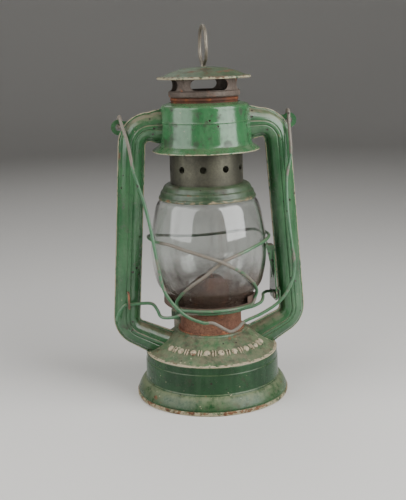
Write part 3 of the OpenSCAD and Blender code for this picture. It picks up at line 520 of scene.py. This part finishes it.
# tank top: cone with a stepped deck, holes for burner and filler, and a pressed bead-and-reel band in front
cone = {"low": tank["height"] + 0.7, "edge": tank["top"] - 1.5, "innerEdge": 29.0, "high": 48.5,
        "deck": high("tank_top")[2], "hole": 15.5, "sheet": 0.8}
# the band's wear goes on all of it, beads and reels alike, so it shows pale: partly rubbed bare metal, partly
# a painted highlight on the relief
band = {"count": 17, "step": 7.6, "bead": 2.5, "squash": 0.5, "reelWidth": 0.26, "reelLength": 1.15,
        "reelGap": 0.95, "wear": 0.75}  # step is in degrees, and the scales are shares of a bead
r, z = cone["innerEdge"], cone["high"]
coneLine = [(tank["top"] - 0.1, tank["height"], 0.9), (tank["top"], tank["height"] + 0.4, 0.9),
            (cone["edge"], cone["low"], 0.7), (r, z, 0.3), (r - 0.8, z + 0.7, 0.5), (r - 1.4, z + 0.7, 0),
            (r - 2.2, cone["deck"], 0.5), (cone["hole"], cone["deck"], 0.1)]
coneLoop = sheetLoop(rounded(coneLine, 0.5), cone["sheet"])
tankTop = lathe("tankTopPiece", coneLoop, wideSteps, dent=0.3, seed=5.0)
fillerLow, fillerHigh = low("filler_neck"), high("filler_neck")
fillerSpot = [(a + b) / 2 for a, b in zip(fillerLow, fillerHigh)]
cutBy(tankTop, cutter((fillerHigh[0] - fillerLow[0]) / 2, 60, fillerSpot))


def bandGroup():
    # round beads and pairs of narrow reels, turn about, along an arc round the Z axis
    tree, given = nodeGroup("beadAndReel", ("Count", "NodeSocketInt", 17),
                            ("Step", "NodeSocketFloat", 0.13), ("Radius", "NodeSocketFloat", 39 * mm),
                            ("Height", "NodeSocketFloat", 41 * mm), ("Slope", "NodeSocketFloat", 0.6),
                            ("Bead", "NodeSocketFloat", 2 * mm))
    line = addNode(tree, "GeometryNodeMeshLine", {}, Count=given.outputs["Count"])
    index = addNode(tree, "GeometryNodeInputIndex", {})
    first = weighed(tree, 0.5, (given.outputs["Count"], -0.5))
    turn = whereAll(tree, weighed(tree, first, (index, 1.0)), given.outputs["Step"])
    across, forward = (whereAll(tree, addNode(tree, "ShaderNodeMath", {"operation": kind}, turn),
                                given.outputs["Radius"]) for kind in ("SINE", "COSINE"))
    spot = addNode(tree, "ShaderNodeCombineXYZ", {}, across, weighed(tree, 0, (forward, -1.0)),
                   given.outputs["Height"])
    placed = addNode(tree, "GeometryNodeSetPosition", {}, line, Position=spot)
    lean = addNode(tree, "ShaderNodeCombineXYZ", {}, given.outputs["Slope"], 0.0, turn)
    odd = addNode(tree, "ShaderNodeMath", {"operation": "MODULO"}, index, 2.0)
    ball = addNode(tree, "GeometryNodeMeshUVSphere", {}, 24, 12, given.outputs["Bead"])
    shapes = addNode(tree, "GeometryNodeJoinGeometry", {})
    reel = (band["reelWidth"], band["reelLength"], band["squash"])
    for scale, shift, picked in (((1, 1, band["squash"]), 0, weighed(tree, 1.0, (odd, -1.0))),
                                 (reel, -band["reelGap"] * mm, odd), (reel, band["reelGap"] * mm, odd)):
        shape = addNode(tree, "GeometryNodeTransform", {}, ball, Translation=(shift, 0, 0), Scale=scale)
        copies = addNode(tree, "GeometryNodeInstanceOnPoints", {}, placed, Instance=shape, Rotation=lean,
                         Selection=picked)
        tree.links.new(copies.outputs[0], shapes.inputs[0])
    return endGroup(tree, given, shapes)


bandRadius = (tank["top"] + cone["innerEdge"]) / 2 - 0.5
bandShare = (cone["edge"] - bandRadius) / (cone["edge"] - cone["innerEdge"])
bandHeight = lerp(cone["low"], cone["high"], bandShare)
bandObject = bpy.data.objects.new("band", bpy.data.meshes.new("band"))
bpy.context.scene.collection.objects.link(bandObject)
grown(bandObject, bandGroup(), {
    "Count": band["count"], "Step": math.radians(band["step"]), "Radius": bandRadius * mm,
    "Height": bandHeight * mm, "Bead": band["bead"] * mm, "Material": topEnamel,
    "Slope": math.atan2(cone["high"] - cone["low"], cone["edge"] - cone["innerEdge"])})
form = bmesh.new()
form.from_mesh(tankTop.data)
plain = len(form.verts)
form.from_mesh(bandObject.data)
form.verts.ensure_lookup_table()
for vertex in form.verts[plain:]:  # the whole band takes this wear, which paints every bead and reel pale: partly rubbed bare crests, partly a painted highlight on the relief
    vertex[form.verts.layers.float["wear"]] = band["wear"]
form.to_mesh(tankTop.data)
form.free()
bpy.data.objects.remove(bandObject)
fit(tankTop, "frame", "green_enamel", topEnamel, "tank_top")
print("tank made")

# air drum: turned flange and a plain wall with soft edges and old knocks
drum = {"radius": high("air_drum")[0] - 2, "low": low("air_drum")[2], "top": high("air_drum")[2],
        "sheet": 0.8, "shaftHole": 1.6, "drill": 8}
drumLine = [(drum["radius"] + 2, drum["low"], 0.6), (drum["radius"] + 2, drum["low"] + 0.8, 0.6),
            (drum["radius"], drum["low"] + 0.8, 0.2), (drum["radius"], drum["top"] - 1, 0.2),
            (drum["radius"] - 0.7, drum["top"], 0.8)]
drumLoop = sheetLoop(rounded(drumLine, 0.5), drum["sheet"])
airDrum = lathe("airDrumPiece", drumLoop, narrowSteps, dent=0.4, seed=8.0)
shaft = [(a + b) / 2 for a, b in zip(low("wick_wheel"), high("wick_wheel"))]
shaftSpot = (shaft[0], drum["radius"], shaft[2])
cutBy(airDrum, cutter(drum["shaftHole"], drum["drill"], shaftSpot, (90, 0, 0)))
fit(airDrum, "frame", "rusty_steel", drumRust, "air_drum")

# side tubes: each half is a pressed channel with seam lips, a rib between grooves, and two bends
tube = {"width": 20.0, "halfDepth": 7.5, "lip": 1.6, "sheet": 0.8, "bend": 13.5, "bendSteps": 16,
        "topX": 54.8, "footX": 64.2, "elbowZ": 191.5, "kneeZ": 62.5, "kneeTurn": 62.0, "armEnd": 32.0,
        "earHole": 2.5, "earDrill": 20, "earOut": 22.2, "earUp": 14, "knock": 0.16, "knockSize": 16,
        "wornPatch": 9, "patchWear": 0.12}
elbow = (tube["topX"] - tube["bend"], tube["elbowZ"])
knee = (tube["footX"] - tube["bend"], tube["kneeZ"])
legTilt = math.degrees(math.atan2(knee[0] - elbow[0], elbow[1] - knee[1]))


def tubePath():
    # stations of (x, z, width, heading) from inside the hood, down the leg and into the tank
    def bend(centre, start, end, spread):
        shares = [i / tube["bendSteps"] for i in range(tube["bendSteps"] + 1)]
        return [(centre[0] + tube["bend"] * math.cos(math.radians(lerp(start, end, share))),
                 centre[1] + tube["bend"] * math.sin(math.radians(lerp(start, end, share))),
                 tube["width"] + spread * (1 - share), lerp(start, end, share)) for share in shares]

    top = elbow[1] + tube["bend"]
    turned = math.radians(tube["kneeTurn"])
    out = (knee[0] + tube["bend"] * math.cos(turned), knee[1] - tube["bend"] * math.sin(turned))
    reach = (out[0] - tube["armEnd"]) / math.sin(turned)
    keys = [(hood["radius"] - 6, top, tube["width"] + 6.5, 90),
            (lerp(hood["radius"], elbow[0], 0.4), top, tube["width"] + 4, 90),
            *bend(elbow, 90, legTilt, 1.5), *bend(knee, legTilt, -tube["kneeTurn"], 0),
            (tube["armEnd"], out[1] - reach * math.cos(turned), tube["width"] + 4, -tube["kneeTurn"])]
    stations = [keys[0]]
    for a, b in zip(keys, keys[1:]):
        pieces = max(1, round(math.dist(a[:2], b[:2]) / 3.5))
        stations += [tuple(lerp(p, q, s / pieces) for p, q in zip(a, b)) for s in range(1, pieces + 1)]
    return stations


def tubeSection():
    # closed half section of (across, depth, wear): lips, flank, groove, rib, and the lining behind them
    half, body = tube["width"] / 2, tube["width"] / 2 - tube["lip"]
    sheet, lining = tube["sheet"], tube["width"] / 2 - tube["lip"] - tube["sheet"]
    rise = tube["halfDepth"] - sheet
    left = [(-0.93, 0.36, 0), (-0.78, 0.64, 0), (-0.52, 0.84, 0.05), (-0.25, 0.94, 0.3), (-0.18, 0.86, 0),
            (-0.11, 1, 0.35)]
    skin = left + [(-x, y, worn) for x, y, worn in left[::-1]]
    outer = [(-half, 0, 0.8), (-half, sheet, 0.95), (-body - 0.05, sheet, 0.45),
             *((x * body, sheet + y * rise, worn) for x, y, worn in skin),
             (body + 0.05, sheet, 0.45), (half, sheet, 0.95), (half, 0, 0.8)]
    hollow = [(1, 0), (0.93, 0.36), (0.78, 0.64), (0.5, 0.82)]
    hollow += [(0, 0.88)] + [(-x, y) for x, y in hollow[::-1]]
    return rounded(outer, 0.55) + [(x * lining, y * rise, 0.0) for x, y in hollow]


def envelopes():
    # solid outer forms of tank top and hood, which the tube ends are trimmed to
    tankForm = [(0, -5, 0), (tank["top"], -5, 0), (tank["top"], tank["height"] + 0.4, 0),
                (cone["edge"], cone["low"], 0), (cone["innerEdge"], cone["high"], 0),
                (cone["innerEdge"] - 2.2, cone["deck"], 0), (0, cone["deck"], 0)]
    hoodForm = [(0, hood["low"], 0), *hoodLine(), *crownLine()[1:], (0, hood["top"], 0)]
    return [lathe("envelope", line, 96) for line in (tankForm, hoodForm)]


# hood: skirt with a rolled flange, and a crown that is seamed on to it
hood = {"low": low("hood_skirt")[2], "top": high("hood_top_shell")[2], "flange": high("hood_skirt")[0],
        "radius": 34.1, "seam": high("hood_skirt")[2], "crown": 32.6, "shoulder": 3, "waist": 33.28,
        "hole": 25.8, "sheet": 0.8, "passage": (12, 9, 8), "passageDrop": 6}


def hoodLine():
    z, r = hood["low"], hood["radius"]
    return [(hood["flange"] - 0.9, z, 0.7), (hood["flange"], z + 0.5, 0.9),
            (hood["flange"] - 0.7, z + 1.5, 0.6), (r + 0.7, z + 4.4, 0.1), (r, z + 6.4, 0),
            (hood["waist"], hood["seam"], 0.3)]


def crownLine():
    z, r, bend = hood["top"], hood["crown"], hood["shoulder"]
    corner = [(r - bend + bend * math.cos(math.radians(a)), z - 4.2 + bend * math.sin(math.radians(a)), 0.15)
              for a in range(8, 81, 9)]
    return [(hood["waist"], hood["seam"], 0.2), (hood["waist"] + 0.5, hood["seam"] + 0.6, 0.5),
            (hood["waist"] - 0.05, hood["seam"] + 1.5, 0.1), (r, z - 5.5, 0), *corner, (hood["hole"], z, 0.5)]


skirtLoop = sheetLoop(rounded(hoodLine(), 0.7), hood["sheet"])
hoodSkirt = lathe("hoodSkirtPiece", skirtLoop, wideSteps, dent=0.5, seed=12.0)
passages = []
for side in (-1, 1):
    spot = (side * hood["radius"] * mm, 0, (hood["seam"] - hood["passageDrop"]) * mm)
    bpy.ops.mesh.primitive_cube_add(size=1, location=spot)
    bpy.context.object.scale = [c * mm for c in hood["passage"]]
    passages.append(bpy.context.object)
cutBy(hoodSkirt, *passages)
fit(hoodSkirt, "frame", "green_enamel", hoodEnamel, "hood_skirt")
crownLoop = sheetLoop(rounded(crownLine(), 0.5), hood["sheet"])
hoodCrown = lathe("hoodCrownPiece", crownLoop, wideSteps, dent=0.5, seed=12.0)
fit(hoodCrown, "frame", "green_enamel", hoodEnamel, "hood_top_shell")
print("hood made")

section, stations = tubeSection(), tubePath()
count = len(section)
for side, sideName in ((-1, "left"), (1, "right")):
    for face, faceName in ((-1, "front"), (1, "back")):
        points, wear = [], []
        for x, z, width, heading in stations:
            turn = math.radians(heading)
            for across, depth, worn in section:
                reach = across * width / tube["width"]
                out, up = reach * math.cos(turn), reach * math.sin(turn)
                spot = Vector(((x + out) * side, face * depth, z + up))
                dip = noise.noise(spot / tube["knockSize"] + Vector((side * 3, 0, face)))
                points.append((spot.x, spot.y + tube["knock"] * dip * min(1, depth / 2), spot.z))
                wear.append(worn + tube["patchWear"] * noise.noise(spot / tube["wornPatch"]))
        faces = []
        for i in range(len(stations) - 1):
            for j in range(count):
                n = (j + 1) % count
                faces.append((i * count + j, (i + 1) * count + j, (i + 1) * count + n, i * count + n))
        faces += [tuple(range(count)), tuple(range(len(points) - count, len(points)))]
        name = f"tube_{sideName}_{faceName}"
        half = meshObject(f"{sideName}Tube{faceName.capitalize()}Piece", points, faces, wear, 40)
        earSpot = (side * (elbow[0] + tube["earOut"]), 0, elbow[1] + tube["earUp"])
        earHole = cutter(tube["earHole"], tube["earDrill"], earSpot, (90, 0, 0))
        cutBy(half, *envelopes(), earHole)
        fit(half, "frame", "green_enamel", tubeEnamel, name)
print("tubes made")

# globe: blown barrel with a foot, a narrow neck and fire-polished rims
globe = {"low": low("globe")[2], "height": high("globe")[2] - low("globe")[2], "middle": high("globe")[0],
         "foot": 31.0, "neck": 31.8, "wall": 1.8}
footRise = ((0, 0), (0.04, 0.05), (0.1, 0.27), (0.16, 0.63), (0.24, 0.82), (0.36, 0.96), (0.48, 1))
neckFall = ((0.6, 0.96), (0.7, 0.85), (0.8, 0.71), (0.88, 0.54), (0.92, 0.333), (0.96, 0.05), (1, 0))
glassRadii = [(at, lerp(globe["foot"], globe["middle"], share)) for at, share in footRise]
glassRadii += [(at, lerp(globe["neck"], globe["middle"], share)) for at, share in neckFall]
barrel = [(radius, globe["low"] + at * globe["height"], 0) for at, radius in glassRadii]
outside = [(p.x, min(max(p.y, globe["low"] + 0.4), globe["low"] + globe["height"] - 0.4), 0)
           for p in spline(barrel, 8)]
inside = [(radius - globe["wall"], height, 0) for radius, height, worn in outside]
rims = [(line[0] - globe["wall"] / 2, height, 0)
        for line, height in ((outside[-1], globe["low"] + globe["height"]), (outside[0], globe["low"]))]
glassLoop = [*outside, rims[0], *inside[::-1], rims[1]]
fit(lathe("globePiece", glassLoop, wideSteps, 60), "globe_carriage", "glass", lampGlass, "globe")

# globe seat: stepped skirt over the globe's neck, up to the chimney tube
seat = {"radius": high("globe_seat")[0], "low": low("globe_seat")[2], "top": high("globe_seat")[2],
        "tube": 27.1, "rest": 157.05}
r, z = seat["radius"], seat["low"]
seatLine = [(r - 0.5, z, 0.7), (r, z + 0.6, 0.8), (r - 0.2, z + 1.9, 0.7), (r - 1.2, z + 2.6, 0.2),
            (r - 1.6, z + 5.0, 0), (r - 2.3, z + 6.2, 0.5), (r - 3.2, z + 6.7, 0.3), (r - 3.6, z + 8.4, 0),
            (r - 4.6, z + 10.0, 0.1), (r - 6.4, z + 11.1, 0.2), (seat["tube"], seat["top"], 0.2)]
seatInside = [(seat["tube"], seat["top"] - 1.3, 0), (seat["tube"], seat["rest"], 0),
              (r - 3.6, seat["rest"], 0), (r - 2.1, z + 2.2, 0), (r - 1.2, z + 1.2, 0), (r - 1.2, z, 0)]
globeSeat = lathe("globeSeatPiece", rounded(seatLine, 0.5) + seatInside, midSteps, dent=0.3, seed=21.0)
fit(globeSeat, "chimney", "green_enamel", seatEnamel, "globe_seat")

# chimney neck: rusted sleeve with a rolled bead under the vent collar
neck = {"radius": 24.4, "low": low("chimney_neck")[2], "top": high("chimney_neck")[2], "sheet": 0.8}
neckLine = [(neck["radius"], neck["low"], 0), (neck["radius"], neck["top"] - 3.0, 0),
            (neck["radius"] + 0.5, neck["top"] - 2.4, 0.5), (neck["radius"] + 0.5, neck["top"] - 1.0, 0.5),
            (neck["radius"], neck["top"] - 0.5, 0), (neck["radius"], neck["top"], 0)]
neckLoop = sheetLoop(rounded(neckLine, 0.4), neck["sheet"])
chimneyNeck = lathe("chimneyNeckPiece", neckLoop, narrowSteps, dent=0.2, seed=23.0)
fit(chimneyNeck, "chimney", "rusty_steel", neckRust, "chimney_neck")

# cap: pressed dome with two stepped rings and a turned-down rim
cap = {"radius": high("cap")[0], "low": high("vent_collar")[2], "top": high("cap")[2]}
z = cap["low"]
capUnder = [(0, z + 6.8, 0), (8, z + 6.4, 0), (17, z + 5.2, 0), (22, z + 3.6, 0), (24, z + 3.2, 0),
            (27, z + 2, 0), (30, z + 0.6, 0), (cap["radius"] - 1.1, z - 0.2, 0.3)]
capOver = [(cap["radius"] - 0.4, z - 0.8, 0.9), (cap["radius"], z - 0.2, 0.9),
           (cap["radius"] - 0.3, z + 0.8, 0.8), (30, z + 1.5, 0.2), (27, z + 2.9, 0.1), (24, z + 4.2, 0.4),
           (22.6, z + 4.6, 0.5), (17.8, z + 5.9, 0.2), (17, z + 6.4, 0.4), (8, z + 7.3, 0.1),
           (0, cap["top"], 0.1)]
capDome = lathe("capPiece", capUnder + rounded(capOver, 0.7), midSteps, dent=0.6, seed=29.0)
fit(capDome, "chimney", "green_enamel", capEnamel, "cap")
print("globe, seat, neck and cap made")

# globe guard: one endless wire that rests on the plate, crosses in front and rings the globe behind
cage = {"gap": 1.2, "plate": 35.4, "over": 2.6}


def guardPoint(turn, share, off=0.0):
    # a place on the guard from its turn, its height as a share of the globe's, and how far it stands off
    for (a, low0), (b, high0) in zip(glassRadii, glassRadii[1:]):
        if a <= share <= b:
            glassRadius = lerp(low0, high0, (share - a) / (b - a))
    radius = max(glassRadius + cage["gap"], cage["plate"] - 0.05) + wire["diameter"] / 2 + off
    angle = math.radians(turn)
    return radius * math.sin(angle), -radius * math.cos(angle), globe["low"] + share * globe["height"]


over = cage["over"]
guardKeys = [guardPoint(a, 0.01) for a in range(-48, 49, 16)]
guardKeys += [guardPoint(*key) for key in (
    (55.5, 0.05), (53, 0.13), (34, 0.25, 0.6), (19, 0.36, over * 0.7), (2, 0.46, over),
    (-14, 0.52, over * 0.5), (-32, 0.565), (-50, 0.6), (-68, 0.6), (-90, 0.6))]
guardKeys += [guardPoint(-112.5 - 22.5 * i, 0.485 + 0.11 * math.sin(math.radians(-112.5 - 22.5 * i)) ** 2)
              for i in range(7)]
guardKeys += [guardPoint(*key) for key in (
    (-270, 0.575), (-290, 0.58), (-310, 0.57), (-335, 0.53), (-358, 0.46), (-374, 0.345), (-389, 0.245),
    (-405, 0.13), (-413, 0.055))]
guard = wireObject("globeGuardPiece", spline(guardKeys, 8, True), wireEnamel, True, 0.36, 31.0,
                   [(guardPoint(-22, 0.54), 34)])
fit(guard, "globe_carriage", "green_wire", wireEnamel, "globe_guard")

# cradle wire: through the left tube's staple, under the plate, and into the lever's slot
cradle = {"height": 75.1, "out": 10.1, "under": 69.65, "legX": 62.9, "lever": 49.1, "leverY": -8.0,
          "leverZ": 73.4, "arm": 12.0}
x, y, z, plate, under = cradle["legX"], -cradle["out"], cradle["height"], cage["plate"], cradle["under"]
cradleKeys = [(-x - 10, -8, z - 12), (-x - 7.5, y, z - 5), (-x - 3.5, y, z - 0.4), (-x, y, z),
              (-x + 10, y, z + 0.3), (-x + 17, y - 0.6, z - 0.6), (-x + 20.4, y - 1.6, z - 5.2),
              (-x + 22.4, y - 3, z - 9.8), (-x + 26, y - 6, z - 10.6), (-x + 32, y - 10, z - 9.4),
              (-plate * 0.7, -plate * 0.7, under - 0.8)]
cradleKeys += [((plate - 2.5) * math.sin(math.radians(a)), -(plate - 2.5) * math.cos(math.radians(a)), under)
               for a in range(-28, 43, 14)]
cradleKeys += [(plate * 0.82, -plate * 0.56, under - 0.3), (plate + 1.2, -13.5, under + 0.6),
               (plate + 4, -9, under + 3), (cradle["lever"] - 8, -2, cradle["leverZ"])]
cradleKeys += [(cradle["lever"] + shift, cradle["leverY"] + cradle["arm"], cradle["leverZ"])
               for shift in (-4, 0, 1.8)]
cradleWire = wireObject("cradleWirePiece", spline(cradleKeys, 8), wireEnamel, False, 0.36, 37.0)
fit(cradleWire, "globe_carriage", "green_wire", wireEnamel, "cradle_wire")

# lift ring: upright loop through the cap
ring = {"half": 13.3, "low": cap["top"] - 1.6, "top": high("lift_ring")[2] - 1.2, "feet": 3.0}
w, bottom, top = ring["half"], ring["low"], ring["top"]
ringHalf = [(0, ring["feet"], bottom), (0, 3.2, bottom + 2.6), (0, 6, bottom + 4.6),
            (0, w * 0.8, bottom + 7), (0, w, bottom + 12), (0, w, top - w), (0, w * 0.8, top - w * 0.38),
            (0, w * 0.42, top - w * 0.1), (0, 0, top)]
ringKeys = ringHalf + [(0, -y, z) for x, y, z in ringHalf[-2::-1]]
liftRing = wireObject("liftRingPiece", spline(ringKeys, 8), ringSteel, False, 0.3, 41.0)
fit(liftRing, "chimney", "bare_steel", ringSteel, "lift_ring")

# bail: end loops round the ears, legs that follow the tubes, and a notch bent in the middle for a hook
bail = {"ear": 63.5, "loop": 3.9, "axis": 209.4, "lean": math.radians(14.5), "length": 155.86,
        "loopTurn": 300, "loopStep": 12.5, "loopPoints": 24, "spread": 1.4, "inset": 1.2}


def bailPoint(across, down, forward=0.0):
    # a place from its share of the ears' distance, its share of the length, and how far it stands forward
    reach = down * bail["length"]
    out = bail["loop"] / math.cos(bail["lean"]) + reach * math.sin(bail["lean"]) + forward
    return across * bail["ear"], -out, bail["axis"] - reach * math.cos(bail["lean"])


def bailLoop(side):
    # one end loop round its ear, that works its way outwards as it turns
    turns = [math.radians(bail["loopTurn"] - bail["loopStep"] * i) for i in range(bail["loopPoints"])]
    full = math.radians(bail["loopTurn"])
    return [Vector((side * (bail["ear"] + bail["spread"] * a / full - bail["inset"]),
                    -bail["loop"] * math.cos(a), bail["axis"] + bail["loop"] * math.sin(a))) for a in turns]


legs = [bailPoint(*key) for key in (
    (-0.955, 0.04, 0.6), (-0.93, 0.08, 2.2), (-0.9, 0.15, 0.8), (-0.87, 0.24), (-0.78, 0.38), (-0.72, 0.52),
    (-0.67, 0.68), (-0.61, 0.8), (-0.43, 0.9), (-0.22, 0.948), (-0.09, 0.955), (0.03, 0.985), (0.11, 1),
    (0.2, 0.985), (0.28, 0.958), (0.5, 0.925), (0.72, 0.872), (0.87, 0.787), (0.915, 0.7), (0.9, 0.6),
    (0.885, 0.45), (0.9, 0.3), (0.96, 0.21), (0.975, 0.15, 0.6), (0.97, 0.08, 1.6), (0.975, 0.04, 0.4))]
bailPath = bailLoop(-1) + spline(legs, 8) + bailLoop(1)[::-1]
rubbed = [(bailPoint(-0.97, 0.03), 30), (bailPoint(0.97, 0.03), 26), (bailPoint(0.05, 0.98), 14)]
bailWire = wireObject("bailPiece", bailPath, wireEnamel, False, 0.3, 47.0, rubbed)
fit(bailWire, "handle", "green_wire", wireEnamel, "bail")
print("wires made")

# CAD pieces that keep their own shape, with a finish for each
for material, kept in (
        (brass, ("burner_collar", "wick_tube", "wick_shaft", "wick_wheel")),
        (burnerRust, ("burner_base", "burner_cone")), (cotton, ("wick",)), (rubber, ("filler_gasket",)),
        (panRust, ("tank_bottom", "guide_staple")), (plateRust, ("globe_plate",)),
        (springSteel, ("hood_spring",)), (ringSteel, ("filler_neck", "lever_pin")),
        (topEnamel, ("filler_cap",)),
        (tubeEnamel, ("ear_left", "ear_right", "lever_bracket", "lift_lever")),
        (chimneySteel, ("chimney_tube",)), (collarSteel, ("vent_collar",))):
    for name in kept:
        nodes[name].data.materials.clear()
        nodes[name].data.materials.append(material)
print("CAD pieces finished")

# studio: matt floor that curves up into a wall all round, and a weak even light
studio = {"flat": 1800, "curve": 700, "curveSteps": 8, "wall": 2200, "sheet": 20, "floor": "#d6d4d0",
          "roughness": 0.6, "air": "#dfe2e6", "strength": 0.09}
bowl = [(0, 0, 0), (studio["flat"], 0, 0)]
for i in range(1, studio["curveSteps"] + 1):
    angle = i / studio["curveSteps"] * math.pi / 2
    bowl.append((studio["flat"] + studio["curve"] * math.sin(angle),
                 studio["curve"] - studio["curve"] * math.cos(angle), 0))
edge, under = studio["flat"] + studio["curve"], -studio["sheet"]
bowl += [(edge, studio["wall"], 0), (edge - under, studio["wall"], 0), (edge - under, under, 0),
         (0, under, 0)]
floor = lathe("floor", bowl, 96, 60)
floorPaint, _, floorShader, _ = newSurface("pale studio floor")
floorShader.inputs["Base Color"].default_value = linear(studio["floor"])
floorShader.inputs["Roughness"].default_value = studio["roughness"]
floor.data.materials.append(floorPaint)

world = bpy.data.worlds.new("studio")
world.use_nodes = True
world.node_tree.nodes["Background"].inputs["Color"].default_value = linear(studio["air"])
world.node_tree.nodes["Background"].inputs["Strength"].default_value = studio["strength"]
bpy.context.scene.world = world


panels = {"left panel": (-70, 0.62, (0.75, 0.7), 0.46, 6.2),  # azimuth, distance, size, height and power
          "right panel": (48, 0.62, (0.6, 0.7), 0.46, 9.5), "back panel": (190, 0.9, (0.8, 0.8), 1.1, 3)}


def softbox(name, azimuth, distance, size, height, power, aim=0.13):
    # soft panel that faces the lantern, in metres, watts and degrees from the front towards the right
    lamp = bpy.data.lights.new(name, "AREA")
    lamp.shape, lamp.size, lamp.size_y, lamp.energy = "RECTANGLE", *size, power
    panel = bpy.data.objects.new(name, lamp)
    angle = math.radians(azimuth)
    panel.location = (distance * math.sin(angle), -distance * math.cos(angle), height)
    panel.rotation_euler = (Vector((0, 0, aim)) - panel.location).to_track_quat("-Z", "Y").to_euler()
    panel.visible_camera = False
    bpy.context.scene.collection.objects.link(panel)


for panelName, settings in panels.items():
    softbox(panelName, *settings)

view = {"spot": (-0.1137, -0.6450, 0.2551), "heading": 9.61, "pitch": 12.45, "roll": 1.78, "lens": 63.72}
camera = bpy.data.objects.new("camera", bpy.data.cameras.new("camera"))
bpy.context.scene.collection.objects.link(camera)
camera.data.lens = view["lens"]
camera.data.clip_start, camera.data.clip_end = 0.02, 20
heading, pitch, roll = (math.radians(view[key]) for key in ("heading", "pitch", "roll"))
ahead = Vector((math.sin(heading) * math.cos(pitch), math.cos(heading) * math.cos(pitch), -math.sin(pitch)))
level = Vector((math.cos(heading), -math.sin(heading), 0))
upright = level.cross(ahead)
rightward = level * math.cos(roll) - upright * math.sin(roll)
upright = level * math.sin(roll) + upright * math.cos(roll)
turned = Matrix((rightward, upright, -ahead)).transposed().to_4x4()
camera.matrix_world = Matrix.Translation(view["spot"]) @ turned
bpy.context.scene.camera = camera
print("floor, lights and camera made")
